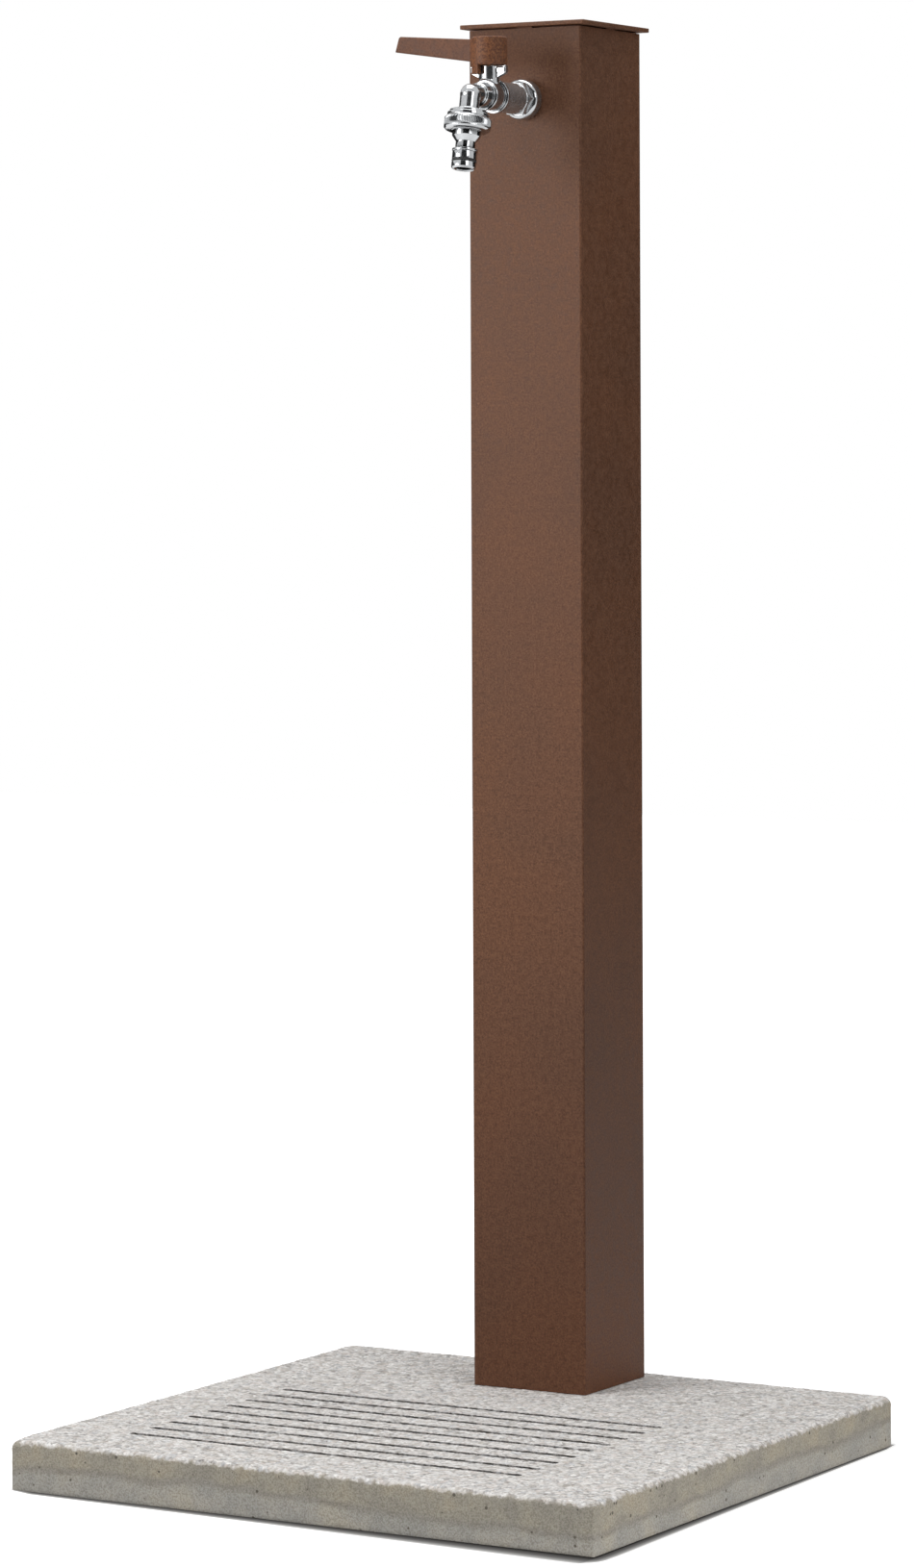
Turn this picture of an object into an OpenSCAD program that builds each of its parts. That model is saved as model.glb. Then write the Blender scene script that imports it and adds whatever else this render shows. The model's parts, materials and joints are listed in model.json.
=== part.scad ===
// Garden tap fountain: a square steel column with a lever tap, standing on a slotted slab.
// Millimetres. The origin is the middle of the slab's underside, +Z is up, the tap points to -Y.

/* [Base slab] */
// Side of the square slab
slab_side = 445; // [430:5:600]
// Thickness of the slab
slab_t = 34; // [30:1:60]
// Radius of the slab's upright corners
slab_corner_r = 3; // [2:0.5:12]
// Bevel along the slab's top edge
slab_bevel = 2; // [1:0.5:3]
// Number of drain slots
slot_count = 9; // [3:1:10]
// Length of a drain slot with its round ends
slot_len = 302; // [200:2:340]
// Width of a drain slot
slot_w = 5; // [4.6:0.2:8]
// Distance from the middle of one slot to the next
slot_pitch = 24.5; // [18:0.5:26]
// Distance from the slab's front edge to the first slot
slot_front = 60; // [40:1:70]
// Sideways place of the slots from the slab's middle
slot_x = -14; // [-30:1:30]

/* [Column] */
// Outer side of the square tube
col_side = 90; // [84:1:110]
// Wall of the tube
col_wall = 2; // [1.5:0.25:2.5]
// Outer corner radius of the tube
col_corner_r = 1.5; // [1.5:0.5:6]
// Length of the tube
col_h = 962; // [600:1:1200]
// Distance from the column's back face to the slab's back edge
col_back = 15.5; // [15:0.5:60]
// Sideways place of the column from the slab's middle
col_x = -12; // [-60:1:60]

/* [Cap] */
// Side of the square cap
cap_side = 100; // [96:1:120]
// Thickness of the cap
cap_t = 3; // [2:0.5:6]
// Corner radius of the cap
cap_corner_r = 1.5; // [1:0.5:8]
// Gap that the nibs hold open between the tube and the cap
cap_gap = 1; // [0.6:0.1:3]
// Height of the collar under the cap
collar_h = 20; // [14:1:30]
// Wall of the collar
collar_wall = 2; // [1.5:0.5:3]
// Gap between the collar and the inside of the tube
collar_gap = 2.5; // [1:0.5:4]
// Length of a nib
nib_len = 12; // [6:1:20]

/* [Foot] */
// Thickness of the foot plate
foot_t = 4; // [3:0.5:8]
// Gap between the foot plate and the inside of the tube
foot_gap = 0.2; // [0.1:0.1:0.5]
// Diameter of a slab bolt
bolt_d = 8; // [6:1:10]
// Distance between the two slab bolts
bolt_spacing = 56; // [46:1:58]
// Width across the flats of a bolt head and nut
bolt_af = 13; // [12:0.5:15]
// Height of a bolt head
bolt_head_h = 5.3; // [4:0.1:7]
// Height of a weld nut
bolt_nut_h = 6.5; // [5:0.5:8]
// Diameter of a bolt washer
washer_d = 16; // [16:0.5:20]
// Thickness of a bolt washer
washer_t = 1.6; // [1:0.1:2]
// Diameter of the recess for a bolt head
recess_d = 22; // [21:0.5:26]
// Depth of the recess for a bolt head
recess_depth = 9; // [9:0.5:14]

/* [Water pipe] */
// Height of the inlet above the slab
inlet_h = 56; // [46:1:120]
// Radius of the inlet and outlet elbows
elbow_r = 13; // [12.5:0.5:15]
// Radius of the free inlet thread
inlet_thread_r = 10.48; // [10:0.01:10.6]
// Length of the free inlet thread
inlet_thread_len = 11; // [8:0.5:11]
// Thickness of the lock nut on the inlet
lock_nut_t = 4; // [3:0.5:4]
// Width across the flats of the lock nut
lock_nut_af = 30; // [27:0.5:36]
// Outer radius of the riser pipe
pipe_r = 7.5; // [6:0.5:8]
// Wall of the riser pipe
pipe_wall = 1; // [0.6:0.1:1.5]
// Distance from an elbow's corner to the end of its pipe port
port_reach = 26; // [24:1:32]
// Outer radius of a pipe port
port_r = 10.5; // [10.4:0.1:11]
// Depth to which the pipe goes into a port
pipe_insert = 12; // [8:0.5:12]
// Width across the flats of a compression nut
comp_af = 25; // [24:0.5:30]
// Thickness of a flat seal
seal_t = 1; // [0.8:0.1:2]

/* [Tap] */
// Distance from the tube's top edge down to the tap's axis
tap_drop = 50.5; // [44:0.5:90]
// Radius of the wall rosette
rosette_r = 14.3; // [13.5:0.1:18]
// Length of the rosette
rosette_len = 9; // [6:0.5:12]
// Width across the flats of the tap's hexagon
hex_af = 22; // [21.8:0.1:24]
// Length of the hexagon
hex_len = 6; // [4:0.5:8]
// Radius of the tap's neck
neck_r = 10.8; // [9.8:0.1:11]
// Radius of the thread that goes through the wall
tail_thread_r = 10.4; // [9.5:0.1:10.5]
// Length of that thread behind the column's front face
tail_thread_len = 17; // [12:0.5:18]
// Distance from the column's front face to the stem's axis
stem_reach = 50.4; // [46:0.2:60]
// Distance from the stem's axis to the spout's axis
spout_reach = 27; // [26:0.2:34]
// Angle by which the spout leans outwards
spout_tilt = 11; // [0:1:14]
// Radius of the tap's barrel
barrel_r = 10.3; // [10:0.1:11]
// Radius of the spout
spout_r = 7; // [6.4:0.1:7.6]
// Radius of the water way through the tap
way_r = 4.5; // [3:0.1:4.6]
// Radius of the ball
ball_r = 7.2; // [6.9:0.1:7.4]
// Radius of the stem
stem_r = 4; // [3.8:0.05:4.1]
// Height of the stem's neck above the tap's axis
stem_neck_h = 20.9; // [19.5:0.1:26]
// Outer radius of the stem's neck
stem_neck_r = 7.1; // [6.4:0.1:7.6]
// Distance from the stem's axis to the end of a stop ear
ear_reach = 14; // [13.5:0.5:18]
// Thickness of a stop ear
ear_t = 4.6; // [3:0.2:6]

/* [Lever] */
// Radius of the lever's hub
hub_r = 12.5; // [11:0.1:14]
// Height of the lever's hub
hub_h = 19.8; // [17:0.2:26]
// Distance from the stem's axis to the lever's tip
arm_reach = 74; // [50:1:100]
// Thickness of the lever's arm at the hub
arm_root_t = 12; // [9:0.5:16]
// Thickness of the lever's arm at its tip
arm_tip_t = 9.5; // [6:0.5:12]
// Rise of the arm's underside from the hub to the tip
arm_low_rise = 11.8; // [4:0.2:14]
// Rise of the arm's top from the hub to the tip
arm_top_rise = 5.7; // [0:0.1:12]
// Depth of the stop lug under the hub
lug_depth = 5.9; // [4:0.1:7]

/* [Hose adapter] */
// Distance along the spout from the tap's axis to the adapter's top face
adapter_top = 17.2; // [14.5:0.1:20]
// Radius of the adapter's knurled ring
ring_r = 16.3; // [15.6:0.1:18]
// Length of the adapter's ring
ring_len = 9.2; // [9:0.2:14]
// Radius of the spout's hose thread
hose_thread_r = 13.2; // [12.6:0.1:13.3]
// Length of the spout's hose thread
hose_thread_len = 5.2; // [4:0.1:6]
// Radius of the nozzle under the ring
nozzle_r = 10; // [9.2:0.1:11]
// Length of the nozzle's thick part with its cone
nozzle_len = 8.2; // [6:0.2:12]
// Radius of the groove that a hose connector grips
grip_r = 7; // [6.6:0.1:7.6]
// Length of that groove
grip_len = 5.2; // [4:0.2:8]
// Radius of the lip under the groove
lip_r = 9; // [8.8:0.1:9.4]
// Radius of the plug that goes into a hose connector
plug_r = 8.6; // [8.4:0.05:8.7]
// Length of the plug above its ring seal
plug_len = 5.4; // [4:0.1:8]
// Length of the plug below its ring seal
plug_tip_len = 4.7; // [3:0.1:6]
// Radius of the water way through the adapter
adapter_way_r = 5.7; // [4:0.1:5.8]

/* [Hidden] */
$fn = 96;

// Overrun of every cut past the face that it opens
over = 1;
// Radial play of a turned piece that runs or is screwed in its bore
play = 0.05;
// Radial clearance of a hole that something passes through
hole_gap = 0.35;

// Places of the column, its cap and the water pipe
col_y = slab_side / 2 - col_back - col_side / 2;
col_front = col_y - col_side / 2;
col_rear = col_y + col_side / 2;
col_inner = col_side - 2 * col_wall;
col_top = slab_t + col_h;
cap_z = col_top + cap_gap;
inlet_z = slab_t + inlet_h;
tap_z = col_top - tap_drop;

// Cap screws: thread, head, key recess, place from the column's middle, free end inside
cap_screw_r = 2;
cap_screw_head_r = 3.6;
cap_screw_head_h = 2.2;
cap_screw_x = 22;
cap_screw_key_af = 2.5;
cap_screw_key_depth = 1.3;
cap_screw_end = 1.5;

// Slab bolts: thread and free end above the nut
bolt_r = bolt_d / 2;
bolt_end = 3;

// Inlet fitting: flange inside the wall, waist under the lock nut, water way
inlet_flange_r = 14;
inlet_flange_t = 3;
inlet_waist_r = inlet_thread_r - play * 5;
inlet_way_r = 6.5;

// Compression joints: the olive, and the nut's grip on the port and its end face
olive_h = 6;
olive_t = 1.4;
olive_r = pipe_r + olive_t;
comp_grip = 9;
comp_face_t = 4;

// Wall rosette and hexagon, along the tap's axis from the column's front face
rosette_rim_len = rosette_len * 2 / 3;
rosette_nose_r = hex_af / 2;
hex_end = rosette_len + hex_len;
tail_way_r = 6.3;
outlet_way_r = 6.5;

// Tap body: rings round the barrel, chamber, seats and nose
rear_ring_w = 3;
ring_step = 1.7;
rear_ring_r = barrel_r + ring_step;
front_ring_w = 2.6;
front_ring_r = barrel_r + ring_step / 4;
chamber_r = barrel_r - ring_step;
seat_in = 4.3;
seat_t = 2.3;
seat_out = seat_in + seat_t;
rear_ring_end = stem_reach - seat_out + rear_ring_w / 3;
body_from = rear_ring_end - rear_ring_w;
front_ring_from = stem_reach + seat_out - front_ring_w / 2;
front_ring_end = front_ring_from + front_ring_w;
nose_step = 2.4;
nose_r = front_ring_r - nose_step;
nose_end = front_ring_end + nose_r;
spout_at = stem_reach + spout_reach;

// Stem: flange under the neck, blade in the ball's slot, square drive, ring seals
stem_flange_t = 1.6;
stem_flange_r = stem_r + stem_flange_t / 3;
stem_flange_z = chamber_r + hole_gap / 2;
blade_t = 3;
blade_depth = 3.2;
drive_af = 5.6;
drive_h = 11.8;
oring_wire_r = 0.6;
oring_low_z = 13;
oring_high_z = 16;

// Stop ears on the neck and the lug under the hub that meets them
ear_h = 5;
ear_foot_h = 2.8;
stop_gap = 0.3;
lug_gap = 1.1;
lug_inner_r = stem_neck_r + lug_gap;

// Lever: running gap over the neck, bevels, arm and screw
hub_gap = 0.3;
hub_z = stem_neck_h + hub_gap;
hub_top = hub_z + hub_h;
hub_bevel = 1;
arm_low = 0.1;
arm_drop = 2.6;
tip_slant = 3.2;
tip_round = 2;
tip_low_round = 0.8;
lever_screw_r = 1.75;
lever_screw_head_r = 3.8;
lever_screw_head_h = 3;
lever_screw_key_af = 2.5;
lever_screw_len = 8;
hub_recess = 4.6;
hub_web = 2.6;

// Spout and hose adapter, along the spout's axis from the tap's axis
shoulder_t = 1.4;
shoulder_r = hose_thread_r + shoulder_t;
shoulder_len = 5.8;
face_gap = 0.2;
shoulder_end = adapter_top - face_gap;
thread_end = shoulder_end + hose_thread_len;
adapter_seal_t = 2;
adapter_seal_step = 1;
adapter_floor = thread_end + face_gap + adapter_seal_t;
ring_bevel = 1.2;
ring_end = adapter_top + ring_len;
cone_len = 4;
nozzle_end = ring_end + nozzle_len;
grip_end = nozzle_end + grip_len;
lip_len = 1.9;
lip_end = grip_end + lip_len;
plug_end = lip_end + plug_len;
seal_groove_w = 2.2;
seal_wire_r = 1;
seal_proud = 0.1;
tip_from = plug_end + seal_groove_w;
tip_end = tip_from + plug_tip_len;
tip_bevel = 1;

steel_brown = "#6b4b3c";
lever_brown = "#7a5646";
chrome = "#c9cccf";
brass = "#c2a15a";
zinc = "#a9adb0";
copper = "#b87a52";

// A square prism with round upright edges, standing on z = 0
module rounded_prism(side, r, h) {
    linear_extrude(h) {
        square([side, side - 2 * r], center = true);
        square([side - 2 * r, side], center = true);
        for (sx = [-1, 1], sy = [-1, 1])
            translate([sx * (side / 2 - r), sy * (side / 2 - r)]) circle(r = r);
    }
}

// Round and hexagonal rods and a tube along +Z, given by their two ends
module rod(r, from, to) {
    translate([0, 0, from]) cylinder(r = r, h = to - from);
}

module cone(r_from, r_to, from, to) {
    translate([0, 0, from]) cylinder(r1 = r_from, r2 = r_to, h = to - from);
}

module hex_rod(af, from, to) {
    translate([0, 0, from]) cylinder(r = af / 2 / cos(30), h = to - from, $fn = 6);
}

module tube(r_out, r_in, from, to) {
    difference() {
        rod(r_out, from, to);
        rod(r_in, from - over, to + over);
    }
}

// Frames: the column's axis, the tap's axis away from the wall, the stem and the spout
module at_column() {
    translate([col_x, col_y, 0]) children();
}

module along_tap() {
    translate([col_x, col_front, tap_z]) rotate([90, 0, 0]) children();
}

module at_stem() {
    translate([col_x, col_front - stem_reach, tap_z]) children();
}

module along_spout() {
    translate([col_x, col_front - spout_at, tap_z]) rotate([180 - spout_tilt, 0, 0]) children();
}

module along_inlet() {
    translate([col_x, col_y, inlet_z]) rotate([-90, 0, 0]) children();
}

module at_lower_port() {
    translate([col_x, col_y, inlet_z + port_reach]) children();
}

module at_upper_port() {
    translate([col_x, col_y, tap_z - port_reach]) mirror([0, 0, 1]) children();
}

module at_slab_bolts() {
    for (side = [-1, 1]) translate([side * bolt_spacing / 2, 0, 0]) children();
}

// Points of the arc that rounds the corner b of a path through a, b and c
function unit(v) = v / norm(v);
function round_corner(a, b, c, r, steps = 6) =
    let (u = unit(a - b), v = unit(c - b), half = acos(u * v) / 2,
        middle = b + unit(u + v) * r / sin(half),
        p = b + u * r / tan(half) - middle, q = b + v * r / tan(half) - middle,
        start = atan2(p[1], p[0]), turn = atan2(q[1], q[0]) - start,
        sweep = turn > 180 ? turn - 360 : turn < -180 ? turn + 360 : turn)
    [for (i = [0 : steps]) middle + r * [cos(start + sweep * i / steps), sin(start + sweep * i / steps)]];

// Slab with a bevelled top edge, drain slots and recessed bolt holes
module slab_edge_profile() {
    edge = slab_side / 2;
    polygon([[-edge, 0], [edge, 0], [edge, slab_t - slab_bevel], [edge - slab_bevel, slab_t],
        [slab_bevel - edge, slab_t], [-edge, slab_t - slab_bevel]]);
}

module drain_slot() {
    straight = slot_len - slot_w;
    translate([0, 0, -over]) linear_extrude(slab_t + 2 * over) {
        square([straight, slot_w], center = true);
        for (end = [-1, 1]) translate([end * straight / 2, 0]) circle(d = slot_w);
    }
}

module base_slab() {
    color("#c9c3bc") difference() {
        intersection() {
            rounded_prism(slab_side, slab_corner_r, slab_t);
            rotate([90, 0, 0]) linear_extrude(slab_side, center = true) slab_edge_profile();
            rotate([90, 0, 90]) linear_extrude(slab_side, center = true) slab_edge_profile();
        }
        for (i = [0 : slot_count - 1])
            translate([slot_x, slot_front - slab_side / 2 + i * slot_pitch, 0]) drain_slot();
        at_column() at_slab_bolts() {
            rod(bolt_r + hole_gap, -over, slab_t + over);
            rod(recess_d / 2, -over, recess_depth);
        }
    }
}

// Foot plate welded inside the tube, with its bolts, washers and weld nuts
module foot_plate() {
    color(steel_brown) at_column() difference() {
        translate([0, 0, slab_t]) rounded_prism(col_inner - 2 * foot_gap, col_corner_r, foot_t);
        at_slab_bolts() rod(bolt_r + hole_gap, slab_t - over, slab_t + foot_t + over);
    }
}

module foot_weld_nuts() {
    nut_z = slab_t + foot_t;
    color(zinc) at_column() at_slab_bolts() difference() {
        hex_rod(bolt_af, nut_z, nut_z + bolt_nut_h);
        rod(bolt_r + play, nut_z - over, nut_z + bolt_nut_h + over);
    }
}

module slab_bolts() {
    head_top = recess_depth - washer_t;
    color(zinc) at_column() at_slab_bolts() {
        hex_rod(bolt_af, head_top - bolt_head_h, head_top);
        rod(bolt_r, head_top - over, slab_t + foot_t + bolt_nut_h + bolt_end);
    }
}

module slab_bolt_washers() {
    color(zinc) at_column() at_slab_bolts()
        tube(washer_d / 2, bolt_r + play, recess_depth - washer_t, recess_depth);
}

// Square tube with holes for the tap, the inlet and the cap's screws
module column_tube() {
    color(steel_brown) difference() {
        at_column() translate([0, 0, slab_t]) difference() {
            rounded_prism(col_side, col_corner_r, col_h);
            translate([0, 0, -over])
                rounded_prism(col_inner, col_corner_r - col_wall / 2, col_h + 2 * over);
        }
        along_tap() rod(tail_thread_r + hole_gap, -col_wall - over, over);
        along_inlet() rod(inlet_thread_r + hole_gap, col_inner / 2 - over, col_side / 2 + over);
        along_cap_screws() rod(cap_screw_r + play, -col_wall - over, over);
    }
}

// Cap plate with four nibs that rest on the tube's edge
module cap_plate() {
    color(steel_brown) at_column() {
        translate([0, 0, cap_z]) rounded_prism(cap_side, cap_corner_r, cap_t);
        for (turn = [0 : 3]) rotate(turn * 90)
            translate([col_inner / 2, -nib_len / 2, col_top]) cube([col_wall, nib_len, cap_gap]);
    }
}

// Square collar under the cap that reaches down into the tube
module cap_collar() {
    outer = col_inner - 2 * collar_gap;
    inner = outer - 2 * collar_wall;
    color(steel_brown) difference() {
        at_column() translate([0, 0, cap_z - collar_h]) difference() {
            rounded_prism(outer, collar_wall, collar_h);
            translate([-inner / 2, -inner / 2, -over]) cube([inner, inner, collar_h + 2 * over]);
        }
        along_cap_screws() rod(cap_screw_r + play, -cap_screw_reach(), 0);
    }
}

// The cap's screws point into the column's back face, +Z outwards
function cap_screw_reach() = col_wall + collar_gap + collar_wall + cap_screw_end;

module along_cap_screws() {
    for (side = [-1, 1])
        translate([col_x + side * cap_screw_x, col_rear, cap_z - collar_h / 2])
            rotate([-90, 0, 0]) children();
}

module cap_screws() {
    color(zinc) along_cap_screws() difference() {
        union() {
            rod(cap_screw_r, -cap_screw_reach(), play);
            cone(cap_screw_head_r, cap_screw_r, 0, cap_screw_head_h);
        }
        hex_rod(cap_screw_key_af, cap_screw_head_h - cap_screw_key_depth, cap_screw_head_h + over);
    }
}

// Compression joint: port on the fitting, olive and nut, +Z out of the port, z = 0 at its end
module port_cut() {
    rod(pipe_r + play, -pipe_insert, over);
    rod(olive_r + play, -olive_h / 2, over);
}

module olive() {
    tube(olive_r, pipe_r + play, -olive_h / 2, olive_h / 2);
}

module compression_nut() {
    difference() {
        hex_rod(comp_af, -comp_grip, olive_h / 2 + comp_face_t);
        rod(port_r + play, -comp_grip - over, olive_h / 2);
        rod(pipe_r + hole_gap, -over, olive_h / 2 + comp_face_t + over);
    }
}

// Inlet fitting: an elbow inside the column whose thread comes out of the back wall
module inlet_elbow() {
    flange_end = col_inner / 2 - seal_t;
    thread_from = col_side / 2 + lock_nut_t;
    thread_to = thread_from + inlet_thread_len;
    color(brass) difference() {
        union() {
            along_inlet() {
                sphere(r = elbow_r);
                rod(elbow_r, 0, flange_end - inlet_flange_t);
                rod(inlet_flange_r, flange_end - inlet_flange_t, flange_end);
                rod(inlet_waist_r, flange_end - over, thread_from);
                rod(inlet_thread_r, thread_from, thread_to);
            }
            at_lower_port() rod(port_r, -port_reach, 0);
        }
        along_inlet() rod(inlet_way_r, 0, thread_to + over);
        along_inlet() sphere(r = inlet_way_r);
        at_lower_port() {
            rod(inlet_way_r, -port_reach, over);
            port_cut();
        }
    }
}

module inlet_seal() {
    color("#2b2b2b") along_inlet()
        tube(inlet_flange_r, inlet_thread_r + play, col_inner / 2 - seal_t, col_inner / 2);
}

module inlet_lock_nut() {
    nut_from = col_side / 2;
    color(brass) along_inlet() difference() {
        hex_rod(lock_nut_af, nut_from, nut_from + lock_nut_t);
        rod(inlet_waist_r + play, nut_from - over, nut_from + lock_nut_t + over);
    }
}

// Straight pipe between the two elbows
module riser_pipe() {
    from = inlet_z + port_reach - pipe_insert;
    to = tap_z - port_reach + pipe_insert;
    color(copper) at_column() tube(pipe_r, pipe_r - pipe_wall, from, to);
}

module lower_compression_nut() {
    color(brass) at_lower_port() compression_nut();
}

module lower_olive() {
    color(copper) at_lower_port() olive();
}

module upper_compression_nut() {
    color(brass) at_upper_port() compression_nut();
}

module upper_olive() {
    color(copper) at_upper_port() olive();
}

// Outlet fitting: an elbow whose socket holds the tap's thread against the front wall
module outlet_elbow() {
    corner = -col_side / 2;
    face = -col_wall - seal_t;
    color(brass) difference() {
        union() {
            along_tap() {
                translate([0, 0, corner]) sphere(r = elbow_r);
                rod(elbow_r, corner, face);
            }
            at_upper_port() rod(port_r, -port_reach, 0);
        }
        along_tap() {
            rod(tail_thread_r + play, -tail_thread_len - over, face + over);
            rod(outlet_way_r, corner, face);
            translate([0, 0, corner]) sphere(r = outlet_way_r);
        }
        at_upper_port() {
            rod(outlet_way_r, -port_reach, over);
            port_cut();
        }
    }
}

module outlet_seal() {
    color("#7d3b2a") along_tap()
        tube(elbow_r, tail_thread_r + play, -col_wall - seal_t, -col_wall);
}

// Rosette that covers the hole in the wall, with a domed face
module wall_rosette() {
    dome = [for (i = [0 : 6]) [rosette_nose_r + (rosette_r - rosette_nose_r) * cos(i * 15),
        rosette_rim_len + (rosette_len - rosette_rim_len) * sin(i * 15)]];
    color(chrome) along_tap() rotate_extrude()
        polygon(concat([[tail_thread_r + play, 0], [rosette_r, 0]], dome,
            [[tail_thread_r + play, rosette_len]]));
}

// Tail of the tap: wall thread, hexagon, neck and the spigot that holds the rear seat
module tap_tail() {
    color(chrome) along_tap() difference() {
        union() {
            rod(tail_thread_r, -tail_thread_len, rosette_len + over);
            intersection() {
                hex_rod(hex_af, rosette_len, hex_end);
                cone(hex_af / 2 + hex_len / tan(30), hex_af / 2, rosette_len, hex_end);
            }
            rod(neck_r, hex_end - over, body_from);
            rod(chamber_r - play, body_from - over, stem_reach - seat_out);
        }
        rod(tail_way_r, -tail_thread_len - over, body_from - over);
        rod(way_r, body_from - 2 * over, stem_reach);
    }
}

// Tap body: barrel with two rings, nose, spout with its hose thread, neck and stop ears
module spout_shape() {
    rise = shoulder_len / 2;
    rim = [for (i = [0 : 6]) [spout_r + (shoulder_r - spout_r) * sin(i * 15),
        shoulder_end - rise - rise * cos(i * 15)]];
    rotate_extrude() polygon(concat([[0, 0], [spout_r, 0]], rim,
        [[shoulder_r, shoulder_end], [hose_thread_r, shoulder_end], [hose_thread_r, thread_end],
        [0, thread_end]]));
}

module stop_ears() {
    ear_low = stem_neck_h - ear_h;
    foot = ear_low - ear_foot_h;
    rotate([90, 0, 0]) linear_extrude(ear_t, center = true)
        polygon([[-ear_reach, stem_neck_h], [-ear_reach, ear_low], [-stem_neck_r, foot],
            [stem_neck_r, foot], [ear_reach, ear_low], [ear_reach, stem_neck_h]]);
}

module tap_body() {
    color(chrome) difference() {
        union() {
            along_tap() {
                rod(rear_ring_r, body_from, rear_ring_end);
                rod(barrel_r, body_from, front_ring_end);
                rod(front_ring_r, front_ring_from, front_ring_end);
                cone(nose_r, spout_r, front_ring_end, nose_end);
                rod(spout_r, front_ring_end, spout_at);
                translate([0, 0, spout_at]) sphere(r = spout_r + play);
            }
            along_spout() spout_shape();
            at_stem() {
                rod(stem_neck_r, 0, stem_neck_h);
                stop_ears();
            }
        }
        along_tap() {
            rod(chamber_r, body_from - over, stem_reach + seat_out);
            rod(way_r, stem_reach, spout_at);
            translate([0, 0, spout_at]) sphere(r = way_r + play);
        }
        along_spout() rod(way_r, 0, thread_end + over);
        at_stem() {
            rod(stem_r + play, 0, stem_neck_h + over);
            rod(stem_flange_r + play, ball_r, stem_flange_z + stem_flange_t + play);
        }
    }
}

// Seats on both sides of the ball, cut to its curve
module ball_seat(from, to) {
    color("#f2f2ee") along_tap() difference() {
        rod(chamber_r - play, from, to);
        rod(way_r, from - over, to + over);
        translate([0, 0, stem_reach]) sphere(r = ball_r + play);
    }
}

module front_seat() {
    ball_seat(stem_reach + seat_in, stem_reach + seat_out);
}

module rear_seat() {
    ball_seat(stem_reach - seat_out, stem_reach - seat_in);
}

// Ball, closed: its way lies across the tap and its slot along it
module valve_ball() {
    color(chrome) at_stem() difference() {
        sphere(r = ball_r);
        rotate([0, 90, 0]) rod(way_r, -ball_r - over, ball_r + over);
        translate([-blade_t / 2 - play, -ball_r - over, ball_r - blade_depth])
            cube([blade_t + 2 * play, 2 * (ball_r + over), blade_depth + over]);
    }
}

// Stem: blade, flange, grooves for the ring seals, square drive and screw hole
module valve_stem() {
    blade_half = sqrt(pow(stem_r - play, 2) - pow(blade_t / 2, 2));
    groove_r = stem_r - 2 * oring_wire_r;
    color(brass) at_stem() difference() {
        union() {
            translate([-blade_t / 2, -blade_half, ball_r - blade_depth + play])
                cube([blade_t, 2 * blade_half, blade_depth + hole_gap]);
            rod(stem_flange_r, stem_flange_z, stem_flange_z + stem_flange_t);
            rod(stem_r, ball_r + hole_gap, hub_z);
            translate([-drive_af / 2, -drive_af / 2, hub_z - over])
                cube([drive_af, drive_af, drive_h + over]);
        }
        for (z = [oring_low_z, oring_high_z])
            tube(stem_r + over, groove_r, z - oring_wire_r - play, z + oring_wire_r + play);
        rod(lever_screw_r + play, hub_z + drive_h - lever_screw_len - over, hub_z + drive_h + over);
    }
}

module stem_orings() {
    color("#1d1d1d") at_stem() for (z = [oring_low_z, oring_high_z])
        translate([0, 0, z]) rotate_extrude()
            translate([stem_r - oring_wire_r + play / 2, 0]) circle(r = oring_wire_r, $fn = 32);
}

// Lever: hub on the square drive, tapered arm and the lug that stops the quarter turn
module lever_arm() {
    low = hub_z + arm_low;
    high = hub_top - arm_drop;
    tip_low = [-arm_reach, low + arm_low_rise];
    tip_high = [tip_slant - arm_reach, high + arm_top_rise];
    side = concat([[0, low]], round_corner([0, low], tip_low, tip_high, tip_low_round),
        round_corner(tip_low, tip_high, [0, high], tip_round), [[0, high]]);
    intersection() {
        rotate([90, 0, 0]) linear_extrude(arm_root_t, center = true) polygon(side);
        translate([0, 0, low - over]) linear_extrude(hub_h + arm_top_rise + 2 * over)
            polygon([[0, -arm_root_t / 2], [0, arm_root_t / 2], [-arm_reach, arm_tip_t / 2],
                [-arm_reach, -arm_tip_t / 2]]);
    }
}

module stop_lug() {
    near = ear_t / 2 + stop_gap;
    intersection() {
        tube(hub_r, lug_inner_r, hub_z - lug_depth, hub_z + over);
        translate([-hub_r, -hub_r, hub_z - lug_depth])
            cube([hub_r - near, hub_r - near, lug_depth + over]);
    }
}

module lever_handle() {
    web_z = hub_z + drive_h + play;
    color(lever_brown) at_stem() difference() {
        union() {
            rod(hub_r, hub_z, hub_top - hub_bevel);
            cone(hub_r, hub_r - hub_bevel, hub_top - hub_bevel, hub_top);
            lever_arm();
            stop_lug();
        }
        translate([-drive_af / 2 - play, -drive_af / 2 - play, hub_z - over])
            cube([drive_af + 2 * play, drive_af + 2 * play, drive_h + over + play]);
        rod(lever_screw_r + hole_gap, web_z - over, hub_top);
        rod(lever_screw_head_r + hole_gap, web_z + hub_web, hub_top + over);
    }
}

module lever_screw() {
    head_z = hub_z + drive_h + play + hub_web;
    color(zinc) at_stem() difference() {
        union() {
            rod(lever_screw_head_r, head_z, head_z + lever_screw_head_h);
            rod(lever_screw_r, head_z - hub_web - lever_screw_len, head_z + over);
        }
        hex_rod(lever_screw_key_af, head_z + lever_screw_head_h / 2,
            head_z + lever_screw_head_h + over);
    }
}

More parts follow.
